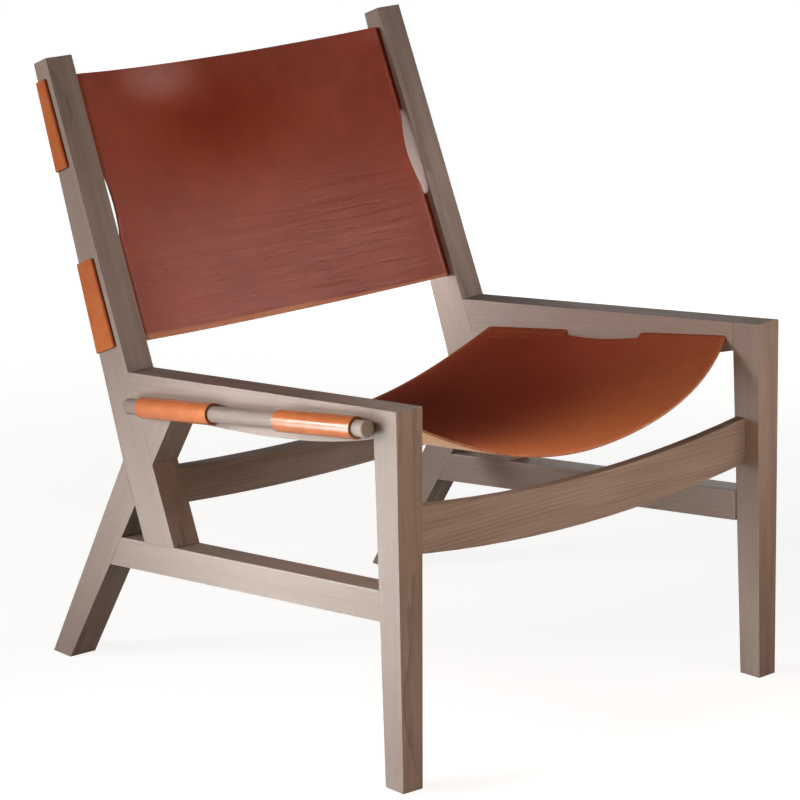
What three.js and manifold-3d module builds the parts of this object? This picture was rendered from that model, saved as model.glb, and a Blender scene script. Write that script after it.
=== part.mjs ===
// Leather sling lounge chair: two splayed timber side frames, two bowed cross rails, a leather
// back held by tabs in slotted posts and a leather seat whose loops are held by loose rods.
// Millimetres, +Z up, the sitter faces -Y, the floor is Z = 0.
import * as THREE from 'three';
import { mergeVertices } from 'three/addons/utils/BufferGeometryUtils.js';
import Module from 'manifold-3d';

const wasm = await Module();
wasm.setup();

// Side frames. Each is drawn in its own upright plane, u to the rear and z up, with w running
// from its outer face to its inner face, and is then turned in plan.
const MID_WIDTH = 640; // over the outer faces, level with u = 0
const SPLAY_DEG = 2.17; // turn of each frame in plan, wider at the front
const TIMBER = 41; // thickness of the frame's members

// Front leg, tapered on all four sides.
const FRONT_FOOT_U = -357;
const FRONT_FOOT_DEPTH = 32.6;
const FRONT_TOP_U = -346.5;
const FRONT_TOP_Z = 474.8;
const FRONT_TOP_DEPTH = 42.6;
const FOOT_INSET_OUTER = 2.3;
const FOOT_INSET_INNER = 7.5;

// Arm rail: straight top that falls to the rear, bellied underside.
const RAIL_FALL_DEG = 6.18;
const RAIL_FRONT_DEPTH = 37;
const RAIL_REAR_DEPTH = 48.7;
const BELLY_U = -151;
const BELLY_DEPTH = 65.2; // how far the curve's handle lies under the rail's top

// Back post: leans back and tapers on its rear face above the crossing.
const POST_U = 180; // front face at the rail's top
const POST_LEAN_DEG = 23.28;
const POST_TOP_Z = 800.3;
const POST_TOP_DEPTH = 28.2;
const POST_DEPTH = 59.5;
const POST_TAPER = 518; // length of the taper, down from the top

// Rear leg: leans forward, crosses the post in a halved joint and ends under the rail.
const REAR_FOOT_U = 357;
const REAR_FOOT_DEPTH = 37.7;
const REAR_LEG_FRONT_LEAN_DEG = 31.5;
const REAR_LEG_REAR_LEAN_DEG = 28.66;

// Lower stretcher, from the front leg to the rear leg.
const STRETCHER_Z = 246.9; // top, at the front leg
const STRETCHER_FALL_DEG = 5.96;
const STRETCHER_DEPTH = 39.4;

// Cross rails, sawn to a curve that dips at mid-span.
const FRONT_RAIL_SETBACK = 22.6; // its front face behind the leg's front face
const FRONT_RAIL_THICKNESS = 16;
const FRONT_RAIL_TOP_Z = 347; // at the legs
const FRONT_RAIL_DEPTH = 61;
const FRONT_RAIL_DIP = 21;
const REAR_RAIL_BACK = 7; // its middle behind the middle of the crossing
const REAR_RAIL_THICKNESS = 28;
const REAR_RAIL_DROP = 20.5; // its top at the side frames under the middle of the crossing
const REAR_RAIL_DEPTH = 46;
const REAR_RAIL_DIP = 11;
const RAIL_EASE = 2; // rounding of the cross rails' long edges

// Leather, and the slots that it passes through.
const LEATHER = 3;
const SLOT_CLEARANCE = 0.85; // on each side of a doubled tab
const HEM = 25; // turned-under end of each seat loop

// Back sling. On the post, s runs down its front face from the top and n to the rear.
const BACK_SLOT_N = 13; // slot centre behind the post's front face
const BACK_SLOT_LENGTH = 119;
const BACK_TOP_MARGIN = 24; // from the post's top to the upper slot
const BACK_RAIL_MARGIN = 35.4; // from the lower slot to the arm rail's top
const BACK_TAB_INSET = 1; // tab end to slot end
const BACK_BOW = 24;
const BACK_NOTCH = 11;
const BACK_NOTCH_RUN = 45;
const BACK_FLAP = 28; // reach of a tab over the post's rear face
const TAB_BEND = 0.9; // inner radius of a tab's bends

// Seat sling and the rods outside the arm rails.
const SEAT_SLOT_LENGTH = 150;
const SEAT_FRONT_MARGIN = 10.9; // from the front leg to the front slot
const SEAT_REAR_MARGIN = 31.7; // from the rear slot to the back post
const SEAT_FRONT_DROP = 22.1; // slot centre under the rail's top
const SEAT_REAR_DROP = 38.9;
const SEAT_TAB_INSET = 2.2;
const SEAT_FRONT_SAG = 85;
const SEAT_REAR_SAG = 74;
const SEAT_FRONT_BOW = 42;
const SEAT_REAR_BOW = 17;
const SEAT_NOTCH = 12;
const SEAT_NOTCH_RUN = 31;
const ROD_RADIUS = 10.5;
const ROD_FRONT_REACH = 18.2; // past the front slot
const ROD_REAR_REACH = 29.3; // past the rear slot
const ROD_CHAMFER = 1.2;
const ROD_CLEARANCE = 0.45; // rod to loop

// Loose tenons hidden in the glued joints.
const TENON_THICKNESS = 10;
const TENON_LENGTH = 42;
const TENON_WIDTH = 24;
const ARM_TENON_DROP = 9.6; // the front arm tenon lies above the slot
const CROSS_TENON_THICKNESS = 8;
const CROSS_TENON_HEIGHT = 34;
const CROSS_TENON_BITE = 17; // depth of its mortise in the side frame

// Dome-headed screws in the back tabs.
const SCREW_HEAD_RADIUS = 5;
const SCREW_HEAD_HEIGHT = 2.4;
const SCREW_RADIUS = 1.8;
const SCREW_BITE = 9; // length in the post
const SCREW_END_MARGIN = 28; // from the slot's ends
const SCREW_W = 15; // in from the post's outer face

// Clearances, and the overrun of cutting shapes.
const GAP = 0.3; // glued and seated faces
const TENON_GAP = 0.3;
const OVERRUN = 10;
const WELD = 1e-4;

// Fineness of the curved forms.
const ROD_STEPS = 24;
const SCREW_STEPS = 10;
const DOME_STEPS = 3;
const SLOT_END_STEPS = 6;
const LOOP_STEPS = 10; // for each half turn
const BEND_STEPS = 3;
const NOTCH_STEPS = 6;
const BELLY_STEPS = 16;
const BOW_STEPS = 14;
const EASE_STEPS = 2;
const BACK_STEPS = [16, 5]; // across, down
const SEAT_STEPS = [24, 6]; // across, front to rear
const HEM_STEPS = [2, 3];
const SLOPE_STEP = 1e-3; // for the direction of a sheet at a point

const WOOD = { color: 0x9c8878, roughness: 0.55, metalness: 0 };
const BEECH = { color: 0xc9a77c, roughness: 0.6, metalness: 0 };
const BRASS = { color: 0xb08d4f, roughness: 0.35, metalness: 1 };
const HIDE = { color: 0x8a4128, roughness: 0.42, metalness: 0 };

const rad = THREE.MathUtils.degToRad;
const lerp = THREE.MathUtils.lerp;
const v2 = (x, y) => new THREE.Vector2(x, y);
const U = new THREE.Vector3(1, 0, 0);
const Z = new THREE.Vector3(0, 1, 0);
const W = new THREE.Vector3(0, 0, 1);

// Lines in the plane of a side frame.
const lineThrough = (a, b) => ({ p: a, d: b.clone().sub(a).normalize() });
const leaning = (p, deg) => ({ p, d: v2(Math.sin(rad(deg)), Math.cos(rad(deg))) });
const falling = (p, deg) => ({ p, d: v2(Math.cos(rad(deg)), -Math.sin(rad(deg))) });
const sideOf = (line) => v2(line.d.y, -line.d.x);
// Rearward for a line that runs up, downward for one that runs to the rear.
const shift = (line, by) => ({ p: line.p.clone().addScaledVector(sideOf(line), by), d: line.d });
const along = (line, t) => line.p.clone().addScaledVector(line.d, t);
function meet(a, b) {
  const t = b.p.clone().sub(a.p).cross(b.d) / a.d.cross(b.d);
  return along(a, t);
}
const atHeight = (line, z) => meet(line, falling(v2(0, z), 0));
const atU = (line, u) => meet(line, leaning(v2(u, 0), 0));
const middle = (a, b) => a.clone().lerp(b, 0.5);
const inFrame = (p, w) => new THREE.Vector3(p.x, p.y, w);

// Solids and geometries.
function welded(geometry) {
  const bare = new THREE.BufferGeometry();
  bare.setAttribute('position', geometry.getAttribute('position').clone());
  if (geometry.index) bare.setIndex(geometry.index.clone());
  return mergeVertices(bare, WELD);
}
function toSolid(geometry) {
  const mesh = new wasm.Mesh({
    numProp: 3,
    vertProperties: new Float32Array(geometry.attributes.position.array),
    triVerts: new Uint32Array(geometry.index.array),
  });
  return new wasm.Manifold(mesh);
}
function toGeometry(solid) {
  const mesh = solid.getMesh();
  const geometry = new THREE.BufferGeometry();
  geometry.setAttribute('position', new THREE.BufferAttribute(mesh.vertProperties, 3));
  geometry.setIndex(new THREE.BufferAttribute(mesh.triVerts, 1));
  geometry.computeVertexNormals();
  return geometry;
}
const cut = (geometry, tools) =>
  toGeometry(tools.reduce((solid, tool) => solid.subtract(toSolid(tool)), toSolid(geometry)));
const join = (geometries) =>
  toGeometry(geometries.map(toSolid).reduce((sum, solid) => sum.add(solid)));
const common = (a, b) => toGeometry(toSolid(a).intersect(toSolid(b)));
const placed = (geometry, matrix) => geometry.clone().applyMatrix4(matrix);
// The same solid on the other side of the chair, with its faces still pointing out.
function mirrored(geometry) {
  const copy = geometry.clone().scale(-1, 1, 1);
  const order = copy.index.array;
  for (let i = 0; i < order.length; i += 3) {
    [order[i + 1], order[i + 2]] = [order[i + 2], order[i + 1]];
  }
  return copy;
}
const basis = (x, y, z, at) => new THREE.Matrix4().makeBasis(x, y, z).setPosition(at);
function slab(outline, from, to, curveSegments) {
  const shape = Array.isArray(outline) ? new THREE.Shape(outline) : outline;
  const options = { depth: to - from, bevelEnabled: false, curveSegments };
  return welded(new THREE.ExtrudeGeometry(shape, options)).translate(0, 0, from);
}
// A strip between two straight lines, from the floor to the chair's full height.
function strip(a, b, from, to) {
  const ends = [atHeight(a, 0), atHeight(a, POST_TOP_Z), atHeight(b, POST_TOP_Z), atHeight(b, 0)];
  return slab(ends, from, to);
}
// Outline of a slot with round ends about the centres a and b.
function slotPath(a, b, width) {
  const heading = b.clone().sub(a).angle();
  const radius = width / 2;
  const points = [];
  for (const [centre, turn] of [[b, -Math.PI / 2], [a, Math.PI / 2]]) {
    for (let i = 0; i <= SLOT_END_STEPS; i++) {
      const angle = heading + turn + (Math.PI * i) / SLOT_END_STEPS;
      points.push(v2(centre.x + radius * Math.cos(angle), centre.y + radius * Math.sin(angle)));
    }
  }
  return points;
}
// A slot along a line, between the distances from and to.
function slotBetween(line, [from, to], width) {
  return new THREE.Path(
    slotPath(along(line, from + width / 2), along(line, to - width / 2), width),
  );
}

// Lines of the side frame.
const floor = falling(v2(0, 0), 0);
const railTop = falling(v2(FRONT_TOP_U, FRONT_TOP_Z), RAIL_FALL_DEG);
const legFront = lineThrough(v2(FRONT_FOOT_U, 0), v2(FRONT_TOP_U, FRONT_TOP_Z));
const legRear = lineThrough(
  v2(FRONT_FOOT_U + FRONT_FOOT_DEPTH, 0),
  atU(railTop, FRONT_TOP_U + FRONT_TOP_DEPTH),
);
const postFront = leaning(atU(railTop, POST_U), POST_LEAN_DEG);
const postRear = shift(postFront, POST_DEPTH);
const rearLegFront = leaning(v2(REAR_FOOT_U - REAR_FOOT_DEPTH, 0), -REAR_LEG_FRONT_LEAN_DEG);
const rearLegRear = leaning(v2(REAR_FOOT_U, 0), -REAR_LEG_REAR_LEAN_DEG);
const stretcherTop = falling(atHeight(legRear, STRETCHER_Z), STRETCHER_FALL_DEG);
const stretcherBottom = shift(stretcherTop, STRETCHER_DEPTH);
const crossing = middle(meet(rearLegRear, postFront), meet(rearLegFront, postRear));
// The rear leg's head runs from its front face to the point where its rear face meets the post.
const headFront = meet(rearLegFront, shift(railTop, RAIL_REAR_DEPTH));
const railUnderRear = lineThrough(headFront, meet(rearLegRear, postFront));

// The post's own frame on its outer face: w inward, s down the front edge, n to the rear.
const postTop = atHeight(postFront, POST_TOP_Z);
const postBack = sideOf(postFront);
const postS = inFrame(postFront.d, 0).negate();
const postMatrix = basis(W, postS, inFrame(postBack, 0), inFrame(postTop, 0));
const postDepth = (s) => lerp(POST_TOP_DEPTH, POST_DEPTH, Math.min(1, s / POST_TAPER));
const postPoint = (s, n) =>
  postTop.clone().addScaledVector(postFront.d, -s).addScaledVector(postBack, n);

// Slots: those of the seat lie on one straight line, those of the back beside the post's front.
const slotWidth = 2 * LEATHER + GAP + 2 * SLOT_CLEARANCE;
const seatFront = meet(shift(legRear, SEAT_FRONT_MARGIN), shift(railTop, SEAT_FRONT_DROP));
const seatRear = meet(shift(postFront, -SEAT_REAR_MARGIN), shift(railTop, SEAT_REAR_DROP));
const seatLine = lineThrough(seatFront, seatRear);
const seatLength = seatFront.distanceTo(seatRear);
const seatSlots = [
  [0, SEAT_SLOT_LENGTH],
  [seatLength - SEAT_SLOT_LENGTH, seatLength],
];
const backLength = postTop.distanceTo(meet(postFront, railTop)) - BACK_RAIL_MARGIN;
const backSlots = [
  [BACK_TOP_MARGIN, BACK_TOP_MARGIN + BACK_SLOT_LENGTH],
  [backLength - BACK_SLOT_LENGTH, backLength],
];

// Left side frame in the chair: its plane is turned about the upright axis.
const splay = rad(SPLAY_DEG);
const leftMatrix = basis(
  new THREE.Vector3(Math.sin(splay), Math.cos(splay), 0),
  new THREE.Vector3(0, 0, 1),
  new THREE.Vector3(Math.cos(splay), -Math.sin(splay), 0),
  new THREE.Vector3(-MID_WIDTH / 2, 0, 0),
);
const toChair = (p, w) => inFrame(p, w).applyMatrix4(leftMatrix);
const uAtY = (y, w) => (y + w * Math.sin(splay)) / Math.cos(splay);

// Loose tenon across a joint: its length runs along dir, its section stands in the frame's plane
// or lies flat, square to it.
function tenon(at, dir, flat, grow) {
  const square = new THREE.Vector3(-dir.y, dir.x, 0);
  const matrix = basis(square, W, inFrame(dir, 0), inFrame(at, TIMBER / 2));
  const half = (TENON_WIDTH - TENON_THICKNESS) / 2;
  const end = flat ? v2(0, half) : v2(half, 0);
  const section = slotPath(end.clone().negate(), end, TENON_THICKNESS + 2 * grow);
  return slab(section, -TENON_LENGTH / 2 - grow, TENON_LENGTH / 2 + grow).applyMatrix4(matrix);
}
// An upright tenon that enters the side frame's inner face from a cross rail.
function crossTenon(u, z, face, grow) {
  const half = (CROSS_TENON_HEIGHT - CROSS_TENON_THICKNESS) / 2;
  const section = slotPath(v2(u, z - half), v2(u, z + half), CROSS_TENON_THICKNESS + 2 * grow);
  const from = face - CROSS_TENON_BITE;
  return slab(section, from - grow, from + TENON_LENGTH + grow);
}

const armFrontMid = meet(legRear, shift(railTop, ARM_TENON_DROP));
const armRearMid = middle(meet(postFront, railTop), meet(postFront, railUnderRear));
const stretcherFrontMid = middle(meet(legRear, stretcherTop), meet(legRear, stretcherBottom));
const stretcherRearMid = middle(
  meet(rearLegFront, stretcherTop),
  meet(rearLegFront, stretcherBottom),
);
const postFootMid = middle(meet(postFront, stretcherTop), meet(postRear, stretcherTop));
const joints = {
  arm_front: (grow) => tenon(armFrontMid, railTop.d, true, grow),
  arm_rear: (grow) => tenon(armRearMid, postBack, false, grow),
  stretcher_front: (grow) => tenon(stretcherFrontMid, stretcherTop.d, false, grow),
  stretcher_rear: (grow) => tenon(stretcherRearMid, stretcherTop.d, false, grow),
  post_foot: (grow) => tenon(postFootMid, postFront.d, false, grow),
};

// Cross rails meet the inner faces of the front legs and of the crossings.
const legInner = (z) => TIMBER - FOOT_INSET_INNER * (1 - z / FRONT_TOP_Z);
const frontRailMidZ = FRONT_RAIL_TOP_Z - FRONT_RAIL_DEPTH / 2;
const frontRailY = toChair(atHeight(legFront, frontRailMidZ), TIMBER).y + FRONT_RAIL_SETBACK;
const frontRailMidU = uAtY(frontRailY + FRONT_RAIL_THICKNESS / 2, TIMBER);
const rearRailTopZ = crossing.y - REAR_RAIL_DROP;
const rearRailMidZ = rearRailTopZ - REAR_RAIL_DEPTH / 2;
const rearRailMidU = crossing.x + REAR_RAIL_BACK;
const rearRailY = toChair(v2(rearRailMidU, 0), TIMBER).y - REAR_RAIL_THICKNESS / 2;
const frontCross = (grow) =>
  crossTenon(frontRailMidU, frontRailMidZ, legInner(frontRailMidZ), grow);
const rearCross = (grow) => crossTenon(rearRailMidU, rearRailMidZ, TIMBER, grow);

// Front leg: the side view and the front view cut each other.
function frontLeg() {
  const sideView = slab(
    [meet(legFront, floor), meet(legRear, floor), meet(legRear, railTop), meet(legFront, railTop)],
    0,
    TIMBER,
  );
  const top = FRONT_TOP_Z;
  const frontView = slab(
    [v2(FOOT_INSET_OUTER, 0), v2(TIMBER - FOOT_INSET_INNER, 0), v2(TIMBER, top), v2(0, top)],
    -meet(legRear, railTop).x - OVERRUN,
    -Math.min(FRONT_FOOT_U, FRONT_TOP_U) + OVERRUN,
  ).applyMatrix4(basis(W, Z, U.clone().negate(), new THREE.Vector3()));
  return cut(common(sideView, frontView), [
    joints.arm_front(TENON_GAP),
    joints.stretcher_front(TENON_GAP),
    frontCross(TENON_GAP),
  ]);
}

function armRail() {
  const seatedLeg = shift(legRear, GAP);
  const seatedPost = shift(postFront, -GAP);
  const frontUnder = meet(seatedLeg, shift(railTop, RAIL_FRONT_DEPTH));
  const handle = atU(railTop, BELLY_U).addScaledVector(sideOf(railTop), BELLY_DEPTH);
  const belly = new THREE.QuadraticBezierCurve(frontUnder, handle, headFront);
  const shape = new THREE.Shape([
    meet(seatedLeg, railTop),
    ...belly.getPoints(BELLY_STEPS),
    meet(seatedPost, railUnderRear),
    meet(seatedPost, railTop),
  ]);
  shape.holes = seatSlots.map((slot) => slotBetween(seatLine, slot, slotWidth));
  return cut(slab(shape, 0, TIMBER), [joints.arm_front(TENON_GAP), joints.arm_rear(TENON_GAP)]);
}

function backPost() {
  const foot = shift(stretcherTop, -GAP);
  const shape = new THREE.Shape([
    postTop,
    postPoint(0, POST_TOP_DEPTH),
    postPoint(POST_TAPER, POST_DEPTH),
    meet(postRear, foot),
    meet(postFront, foot),
  ]);
  const slotCentre = lineThrough(postPoint(0, BACK_SLOT_N), postPoint(backLength, BACK_SLOT_N));
  shape.holes = backSlots.map((slot) => slotBetween(slotCentre, slot, slotWidth));
  const lap = strip(
    shift(rearLegFront, -GAP),
    shift(rearLegRear, GAP),
    (TIMBER - GAP) / 2,
    TIMBER + OVERRUN,
  );
  return cut(slab(shape, 0, TIMBER), [
    lap,
    joints.arm_rear(TENON_GAP),
    joints.post_foot(TENON_GAP),
    rearCross(TENON_GAP),
    ...screwHoles(),
  ]);
}

function rearLeg() {
  const head = shift(railUnderRear, GAP);
  const outline = [
    meet(rearLegFront, floor),
    meet(rearLegRear, floor),
    meet(rearLegRear, head),
    meet(rearLegFront, head),
  ];
  const lap = strip(shift(postFront, -GAP), shift(postRear, GAP), -OVERRUN, (TIMBER + GAP) / 2);
  return cut(slab(outline, 0, TIMBER), [
    lap,
    joints.stretcher_rear(TENON_GAP),
    rearCross(TENON_GAP),
  ]);
}

function lowerStretcher() {
  const front = shift(legRear, GAP);
  const rear = shift(rearLegFront, -GAP);
  const outline = [
    meet(front, stretcherTop),
    meet(front, stretcherBottom),
    meet(rear, stretcherBottom),
    meet(rear, stretcherTop),
  ];
  return cut(slab(outline, 0, TIMBER), [
    joints.stretcher_front(TENON_GAP),
    joints.stretcher_rear(TENON_GAP),
    joints.post_foot(TENON_GAP),
  ]);
}

// Rod outside the arm rail, through the seat's loops.
const loopInner = ROD_RADIUS + ROD_CLEARANCE;
const loopOuter = loopInner + LEATHER;
const rodOut = loopOuter + GAP;
const seatUp = new THREE.Vector3(-seatLine.d.y, seatLine.d.x, 0);
const rodMatrix = basis(W.clone().negate(), seatUp, inFrame(seatLine.d, 0), inFrame(seatFront, 0));
function seatRod() {
  const front = -ROD_FRONT_REACH;
  const rear = seatLength + ROD_REAR_REACH;
  const profile = [
    v2(0, front),
    v2(ROD_RADIUS - ROD_CHAMFER, front),
    v2(ROD_RADIUS, front + ROD_CHAMFER),
    v2(ROD_RADIUS, rear - ROD_CHAMFER),
    v2(ROD_RADIUS - ROD_CHAMFER, rear),
    v2(0, rear),
  ];
  return welded(new THREE.LatheGeometry(profile, ROD_STEPS))
    .rotateX(Math.PI / 2)
    .translate(rodOut, 0, 0)
    .applyMatrix4(rodMatrix);
}

// Screws stand square on the post's rear face, which the taper turns a little.
const rearFace = lineThrough(postPoint(POST_TAPER, POST_DEPTH), postPoint(0, POST_TOP_DEPTH));
const rearOut = inFrame(sideOf(rearFace), 0);
const rearUp = inFrame(rearFace.d, 0);
const screwPlaces = backSlots.flatMap(([from, to]) =>
  [from + SCREW_END_MARGIN, to - SCREW_END_MARGIN].map((s) =>
    basis(rearUp, rearOut, W.clone().negate(), inFrame(postPoint(s, postDepth(s)), SCREW_W))),
);
// Screw along +Y from its tip in the post to the dome outside the leather.
function tabScrew() {
  const seat = LEATHER + 2 * GAP;
  const dome = new THREE.EllipseCurve(
    0, seat, SCREW_HEAD_RADIUS, SCREW_HEAD_HEIGHT, 0, Math.PI / 2,
  );
  const profile = [
    v2(0, -SCREW_BITE),
    v2(SCREW_RADIUS, SCREW_RADIUS - SCREW_BITE),
    v2(SCREW_RADIUS, seat),
    ...dome.getPoints(DOME_STEPS).slice(0, -1),
    v2(0, seat + SCREW_HEAD_HEIGHT),
  ];
  return welded(new THREE.LatheGeometry(profile, SCREW_STEPS));
}
// Holes for the screws, through the leather and into the post.
function screwHoles() {
  const length = SCREW_BITE + LEATHER + OVERRUN;
  const radius = SCREW_RADIUS + GAP;
  const hole = welded(new THREE.CylinderGeometry(radius, radius, length, SCREW_STEPS))
    .translate(0, length / 2 - SCREW_BITE - GAP, 0);
  return screwPlaces.map((place) => placed(hole, place));
}

// Sawn cross rail with eased long edges, a little longer than the space between the frames.
function crossRail(y, thickness, topZ, depth, dip) {
  const halfSpan = -toChair(v2(uAtY(y, TIMBER), 0), TIMBER).x;
  const bow = (x) => dip * (1 - (x / halfSpan) ** 2);
  const edge = (z) => Array.from({ length: BOW_STEPS + 1 }, (_, i) => {
    const x = lerp(-halfSpan - OVERRUN, halfSpan + OVERRUN, i / BOW_STEPS);
    return v2(x, z - bow(x));
  });
  const outline = new THREE.Shape([...edge(topZ - depth), ...edge(topZ).reverse()]);
  const geometry = new THREE.ExtrudeGeometry(outline, {
    depth: thickness - 2 * RAIL_EASE,
    bevelEnabled: true,
    bevelSize: RAIL_EASE,
    bevelOffset: -RAIL_EASE,
    bevelThickness: RAIL_EASE,
    bevelSegments: EASE_STEPS,
  });
  return welded(geometry).rotateX(Math.PI / 2).translate(0, y + thickness - RAIL_EASE, 0);
}
// Everything outward of a side frame's inner face, which may lean between foot and top.
function outward(foot, top) {
  const reach = MID_WIDTH;
  return slab(
    [v2(-reach, 0), v2(foot + GAP, 0), v2(top + GAP, FRONT_TOP_Z), v2(-reach, FRONT_TOP_Z)],
    -reach,
    reach,
  ).applyMatrix4(basis(W, Z, U.clone().negate(), new THREE.Vector3()));
}
function bothSides(tool) {
  const left = placed(tool, leftMatrix);
  return [left, mirrored(left)];
}
function frontCrossRail() {
  const blank = crossRail(
    frontRailY, FRONT_RAIL_THICKNESS, FRONT_RAIL_TOP_Z, FRONT_RAIL_DEPTH, FRONT_RAIL_DIP,
  );
  const ends = outward(TIMBER - FOOT_INSET_INNER, TIMBER);
  return cut(blank, [ends, frontCross(TENON_GAP)].flatMap(bothSides));
}
function rearCrossRail() {
  const blank = crossRail(
    rearRailY, REAR_RAIL_THICKNESS, rearRailTopZ, REAR_RAIL_DEPTH, REAR_RAIL_DIP,
  );
  return cut(blank, [outward(TIMBER, TIMBER), rearCross(TENON_GAP)].flatMap(bothSides));
}

// A sheet of leather about surface(a, b), with a and b from 0 to 1.
function sheet(surface, [stepsA, stepsB]) {
  const positions = [];
  for (const face of [0.5, -0.5]) {
    for (let i = 0; i <= stepsA; i++) {
      for (let j = 0; j <= stepsB; j++) {
        const [a, b] = [i / stepsA, j / stepsB];
        const alongA = surface(a + SLOPE_STEP, b).sub(surface(a - SLOPE_STEP, b));
        const alongB = surface(a, b + SLOPE_STEP).sub(surface(a, b - SLOPE_STEP));
        const normal = alongA.cross(alongB).normalize();
        positions.push(...surface(a, b).addScaledVector(normal, face * LEATHER).toArray());
      }
    }
  }
  const count = (stepsA + 1) * (stepsB + 1);
  const id = (i, j) => i * (stepsB + 1) + j;
  const index = [];
  for (let i = 0; i < stepsA; i++) {
    for (let j = 0; j < stepsB; j++) {
      const [p, q, r, s] = [id(i, j), id(i + 1, j), id(i + 1, j + 1), id(i, j + 1)];
      index.push(p, q, r, p, r, s);
      index.push(count + p, count + r, count + q, count + p, count + s, count + r);
    }
  }
  const rim = [];
  for (let i = 0; i < stepsA; i++) rim.push(id(i, 0));
  for (let j = 0; j < stepsB; j++) rim.push(id(stepsA, j));
  for (let i = stepsA; i > 0; i--) rim.push(id(i, stepsB));
  for (let j = stepsB; j > 0; j--) rim.push(id(0, j));
  rim.forEach((p, k) => {
    const q = rim[(k + 1) % rim.length];
    index.push(p, count + p, count + q, p, count + q, q);
  });
  const geometry = new THREE.BufferGeometry();
  geometry.setAttribute('position', new THREE.Float32BufferAttribute(positions, 3));
  geometry.setIndex(index);
  return geometry;
}
// A solid between two outlines in (w, n) with the same number of points, at s = from and s = to.
function loft(first, second, from, to) {
  const count = first.length;
  const positions = [];
  for (const [ring, s] of [[first, from], [second, to]]) {
    for (const p of ring) positions.push(p.x, s, p.y);
  }
  const index = [];
  for (let i = 0; i < count; i++) {
    const j = (i + 1) % count;
    index.push(i, count + i, count + j, i, count + j, j);
  }
  for (const [a, b, c] of THREE.ShapeUtils.triangulateShape(first, [])) {
    index.push(a, b, c, count + a, count + c, count + b);
  }
  const geometry = new THREE.BufferGeometry();
  geometry.setAttribute('position', new THREE.Float32BufferAttribute(positions, 3));
  geometry.setIndex(index);
  return geometry;
}

// Section of a back tab at s: in through the slot, round the post's outer edge to its rear face.
function tabSection(s) {
  const off = GAP + LEATHER / 2;
  const rear = postDepth(s) + off;
  const bend = TAB_BEND + LEATHER / 2;
  const corners = [
    v2(TIMBER + LEATHER * 2, BACK_SLOT_N),
    v2(-off, BACK_SLOT_N),
    v2(-off, rear),
    v2(BACK_FLAP, rear),
  ];
  const path = [corners[0]];
  for (const k of [1, 2]) {
    const before = corners[k - 1].clone().sub(corners[k]).normalize();
    const after = corners[k + 1].clone().sub(corners[k]).normalize();
    const centre = corners[k].clone().addScaledVector(before, bend).addScaledVector(after, bend);
    for (let i = 0; i <= BEND_STEPS; i++) {
      const turn = (Math.PI / 2) * (i / BEND_STEPS);
      path.push(centre.clone()
        .addScaledVector(after, -bend * Math.cos(turn))
        .addScaledVector(before, -bend * Math.sin(turn)));
    }
  }
  path.push(corners[3]);
  const normals = path.map((_, i) => {
    const back = path[Math.max(0, i - 1)];
    const next = path[Math.min(path.length - 1, i + 1)];
    const d = next.clone().sub(back).normalize();
    return v2(-d.y, d.x);
  });
  const offset = (by) => path.map((p, i) => p.clone().addScaledVector(normals[i], by));
  return [...offset(-LEATHER / 2), ...offset(LEATHER / 2).reverse()];
}

// The cut-away between two tabs on a sheet's side edge: a slow curve from one tab, a square step
// to the other, in the plane of (w, distance along the edge).
function notchShape(curved, square, depth, run) {
  const limit = Math.min(run, Math.abs(square - curved));
  const end = curved + limit * Math.sign(square - curved);
  const shape = new THREE.Shape();
  shape.moveTo(TIMBER - LEATHER, curved);
  shape.lineTo(TIMBER, curved);
  shape.quadraticCurveTo(TIMBER + depth, curved, TIMBER + depth, end);
  shape.lineTo(TIMBER + depth, square);
  shape.lineTo(TIMBER - LEATHER, square);
  return shape;
}

// The back hangs between the posts' inner faces and bows to the rear.
function backSling() {
  const [upper, lower] = backSlots.map(([from, to]) => [from + BACK_TAB_INSET, to - BACK_TAB_INSET]);
  const surface = (a, b) => {
    const k = 2 * a - 1;
    const edge = toChair(postPoint(lerp(upper[0], lower[1], b), BACK_SLOT_N), TIMBER + GAP);
    const bow = BACK_BOW * (1 - k * k);
    return new THREE.Vector3(-edge.x * k, edge.y + bow * postBack.x, edge.z + bow * postBack.y);
  };
  const tabs = [upper, lower].map(([from, to]) =>
    loft(tabSection(from), tabSection(to), from, to).applyMatrix4(postMatrix));
  const notch = slab(
    notchShape(upper[1], lower[0], BACK_NOTCH, BACK_NOTCH_RUN), 0, 2 * BACK_SLOT_N, NOTCH_STEPS,
  ).applyMatrix4(postMatrix);
  const whole = join([sheet(surface, BACK_STEPS), ...tabs.flatMap(bothSides)]);
  return cut(whole, [notch, ...screwHoles()].flatMap(bothSides));
}

// Outline of a seat loop: out through the slot, round the rod and back in.
function loopShape() {
  const half = LEATHER + GAP / 2;
  const bite = Math.asin(half / loopOuter);
  const end = -TIMBER - LEATHER;
  const shape = new THREE.Shape();
  shape.moveTo(end, half);
  shape.lineTo(end, -half);
  shape.lineTo(rodOut - loopOuter * Math.cos(bite), -half);
  shape.absarc(rodOut, 0, loopOuter, bite - Math.PI, Math.PI - bite, false);
  shape.lineTo(end, half);
  const hole = new THREE.Path();
  hole.absarc(rodOut, 0, loopInner, 0, 2 * Math.PI, true);
  shape.holes.push(hole);
  return shape;
}

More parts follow.
